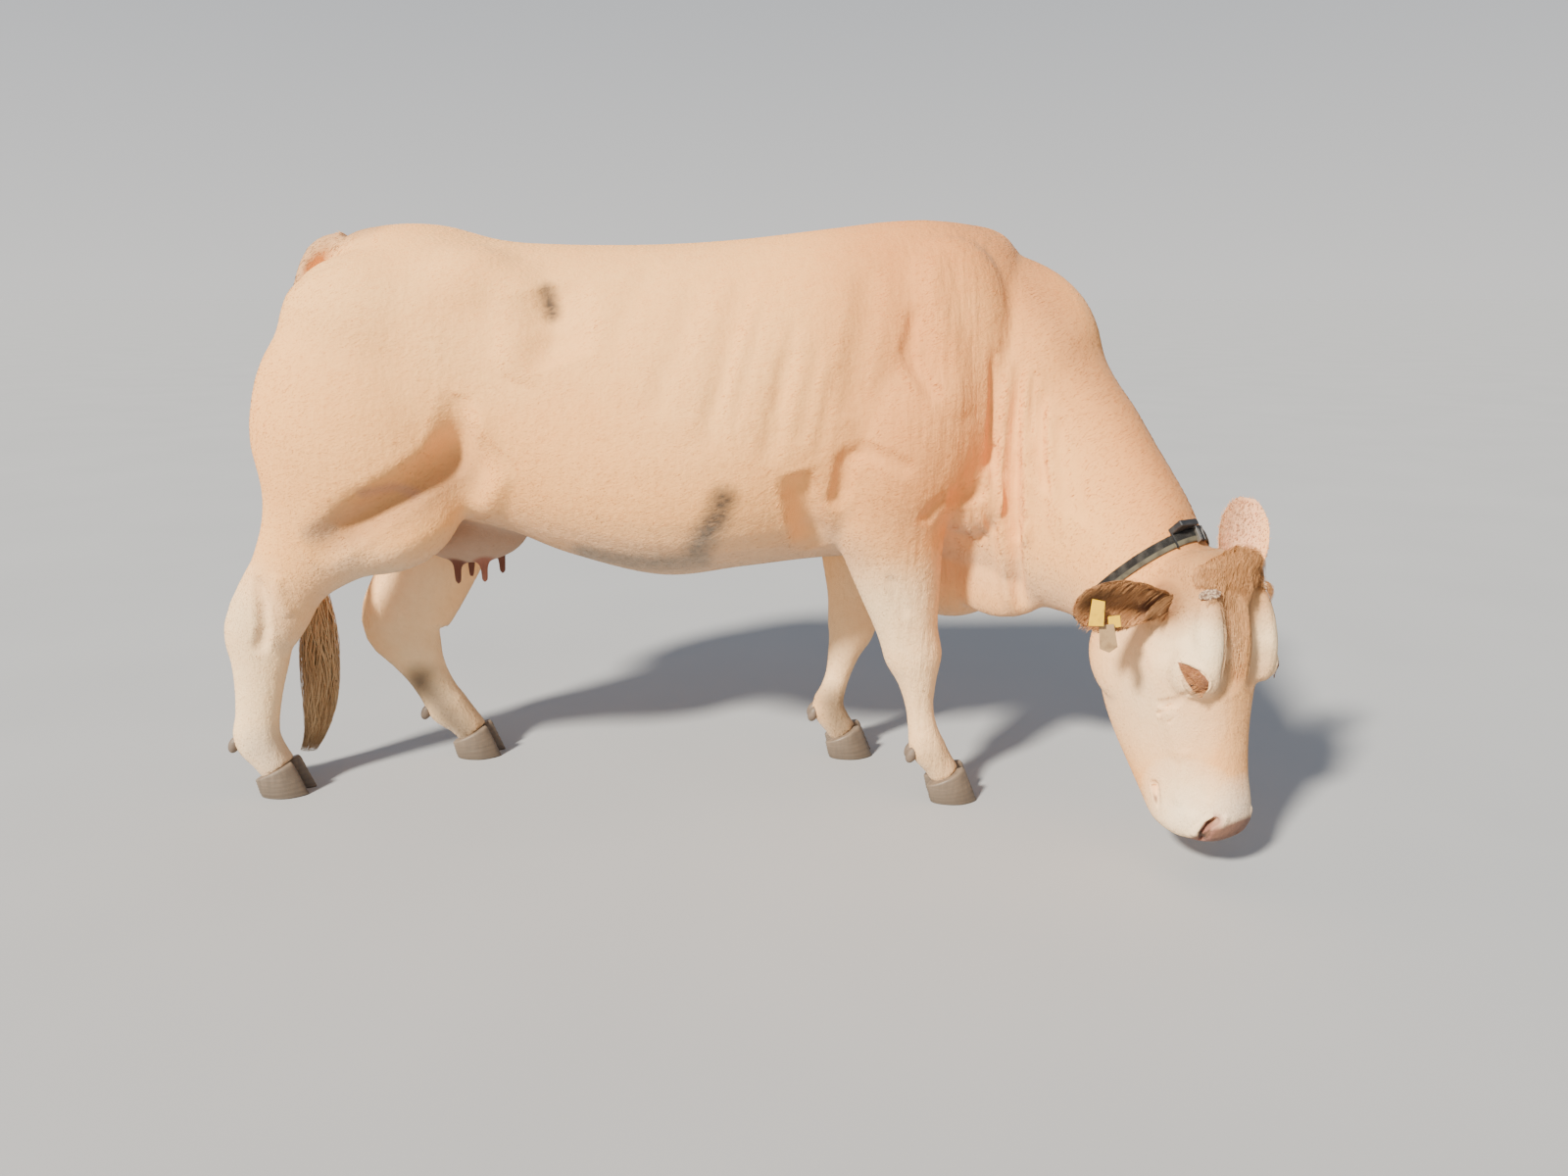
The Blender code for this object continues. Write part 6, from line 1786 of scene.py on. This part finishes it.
def eased(body, rounds):
    """The back, the hindquarters and the shoulders calmed, so that their masses run into each other."""
    spots, _ = points_of(body)
    weight = np.clip((spots[:, 2] - 0.66) / 0.12, 0, 1) * np.clip((0.50 - spots[:, 0]) / 0.12, 0, 1)
    weight *= np.clip((distance_to(spots, np.array(DOCK)[:, :3]) - 0.045) / 0.05, 0, 1)
    weight *= 0.35 + 0.65 * np.clip((-0.40 - spots[:, 0]) / 0.15, 0, 1)
    ends = np.empty(2 * len(body.data.edges), np.int32)
    body.data.edges.foreach_get("vertices", ends)
    ends = ends.reshape(-1, 2)
    both = np.concatenate([ends, ends[:, ::-1]])
    count = len(spots)
    share = (0.5 * weight / np.maximum(np.bincount(both[:, 0], minlength=count), 1))[:, None]
    for _ in range(rounds):
        pull = [np.bincount(both[:, 0], spots[both[:, 1], k] - spots[both[:, 0], k], count) for k in range(3)]
        spots = spots + share * np.stack(pull, 1)
    moved_to(body, spots)


def middle_of(node):
    low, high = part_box(node)
    return (low + high) / 2


# From the cow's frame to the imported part's: both know where the middle of the near eye is
SHIFT = middle_of("right_eye") - head_frame() @ Vector((EYE_PLACE[0], -EYE_PLACE[1], EYE_PLACE[2]))


def main():
    chance = np.random.default_rng(SEED)
    forms = bpy.data.collections.new("forms")
    bpy.context.scene.collection.children.link(forms)
    camera()
    stage()

    skin = skin_of(forms)
    store_colours(skin.data, painted(*points_of(skin)))
    coat_map = CoatMap(skin)
    tree = BVHTree.FromObject(skin, bpy.context.evaluated_depsgraph_get())

    fur = hair_material("short_coat", 0.62)
    long_hair = hair_material("long_hair", 0.5)
    for piece in coat(skin, coat_map, TUFTS, chance):
        dressed(piece, fur, "skin")
    locks = poll_hair(tree, coat_map, chance)
    locks.append(face_strands(tree, coat_map, chance))
    locks += [ear_hair(label, tree, coat_map, chance) for label in EAR_PLACES]
    locks.append(lashes(coat_map, chance))
    for piece in locks:
        dressed(piece, long_hair, "skin")
    dressed(brush(coat_map, chance), long_hair, "switch_hair", "tail_switch")

    horn = horn_material()
    for name, side, stations in FEET:
        for label, claw_side in (("outer", side), ("inner", -side)):
            node = f"{name}_{label}_claw"
            dressed(hoof(node + "_horn", stations, claw_side), horn, "horn", node)
        dressed(dew_claws(name + "_dew_claws", stations, 0.14, tree), horn, "horn")
    crust = crust_material()
    eyes = eye_material()
    for label, side in SIDES:
        dressed(eye_ball(side, label + "_wet_eye"), eyes, "eye", label + "_eye")
        dressed(horn_scar(label + "_horn_scar", side, tree, chance), crust, "horn", label + "_horn_bud")

    band, keepers = strap(tree, head_frame() @ Vector((0.03, 0, -0.16)))
    dressed(band, strap_material(), "strap", "collar")
    black = plastic_material("worn_buckle", (0.018, 0.018, 0.02), (0.07, 0.065, 0.06), 0.42)
    steel = plastic_material("worn_steel", (0.52, 0.50, 0.46), (0.30, 0.26, 0.21), 0.36, metal=0.9)
    for keeper in keepers:
        dressed(keeper, steel if keeper.name == "collar_bar" else black, "buckle")
    yellow = plastic_material("yellow_tag", (0.86, 0.50, 0.004), (0.55, 0.31, 0.02), 0.45, 60.0)
    beige = plastic_material("beige_tag", (0.40, 0.25, 0.12), (0.27, 0.16, 0.075), 0.5, 60.0)
    for node, material in (("collar_buckle", black), ("ear_tag_flag", yellow),
                           ("ear_tag_button", yellow), ("ear_tag_pendant", beige)):
        frame["nodes"][node].data.materials[0] = material

    flesh = ["torso", "neck", "head", "right_ear", "left_ear", "tail", "udder"]
    flesh += [f"{name}_{part}_leg" for name, _, _ in FEET for part in ("upper", "lower")]
    dressed(skin, skin_material(), "skin", *flesh)
    bpy.data.collections.remove(forms)


main()
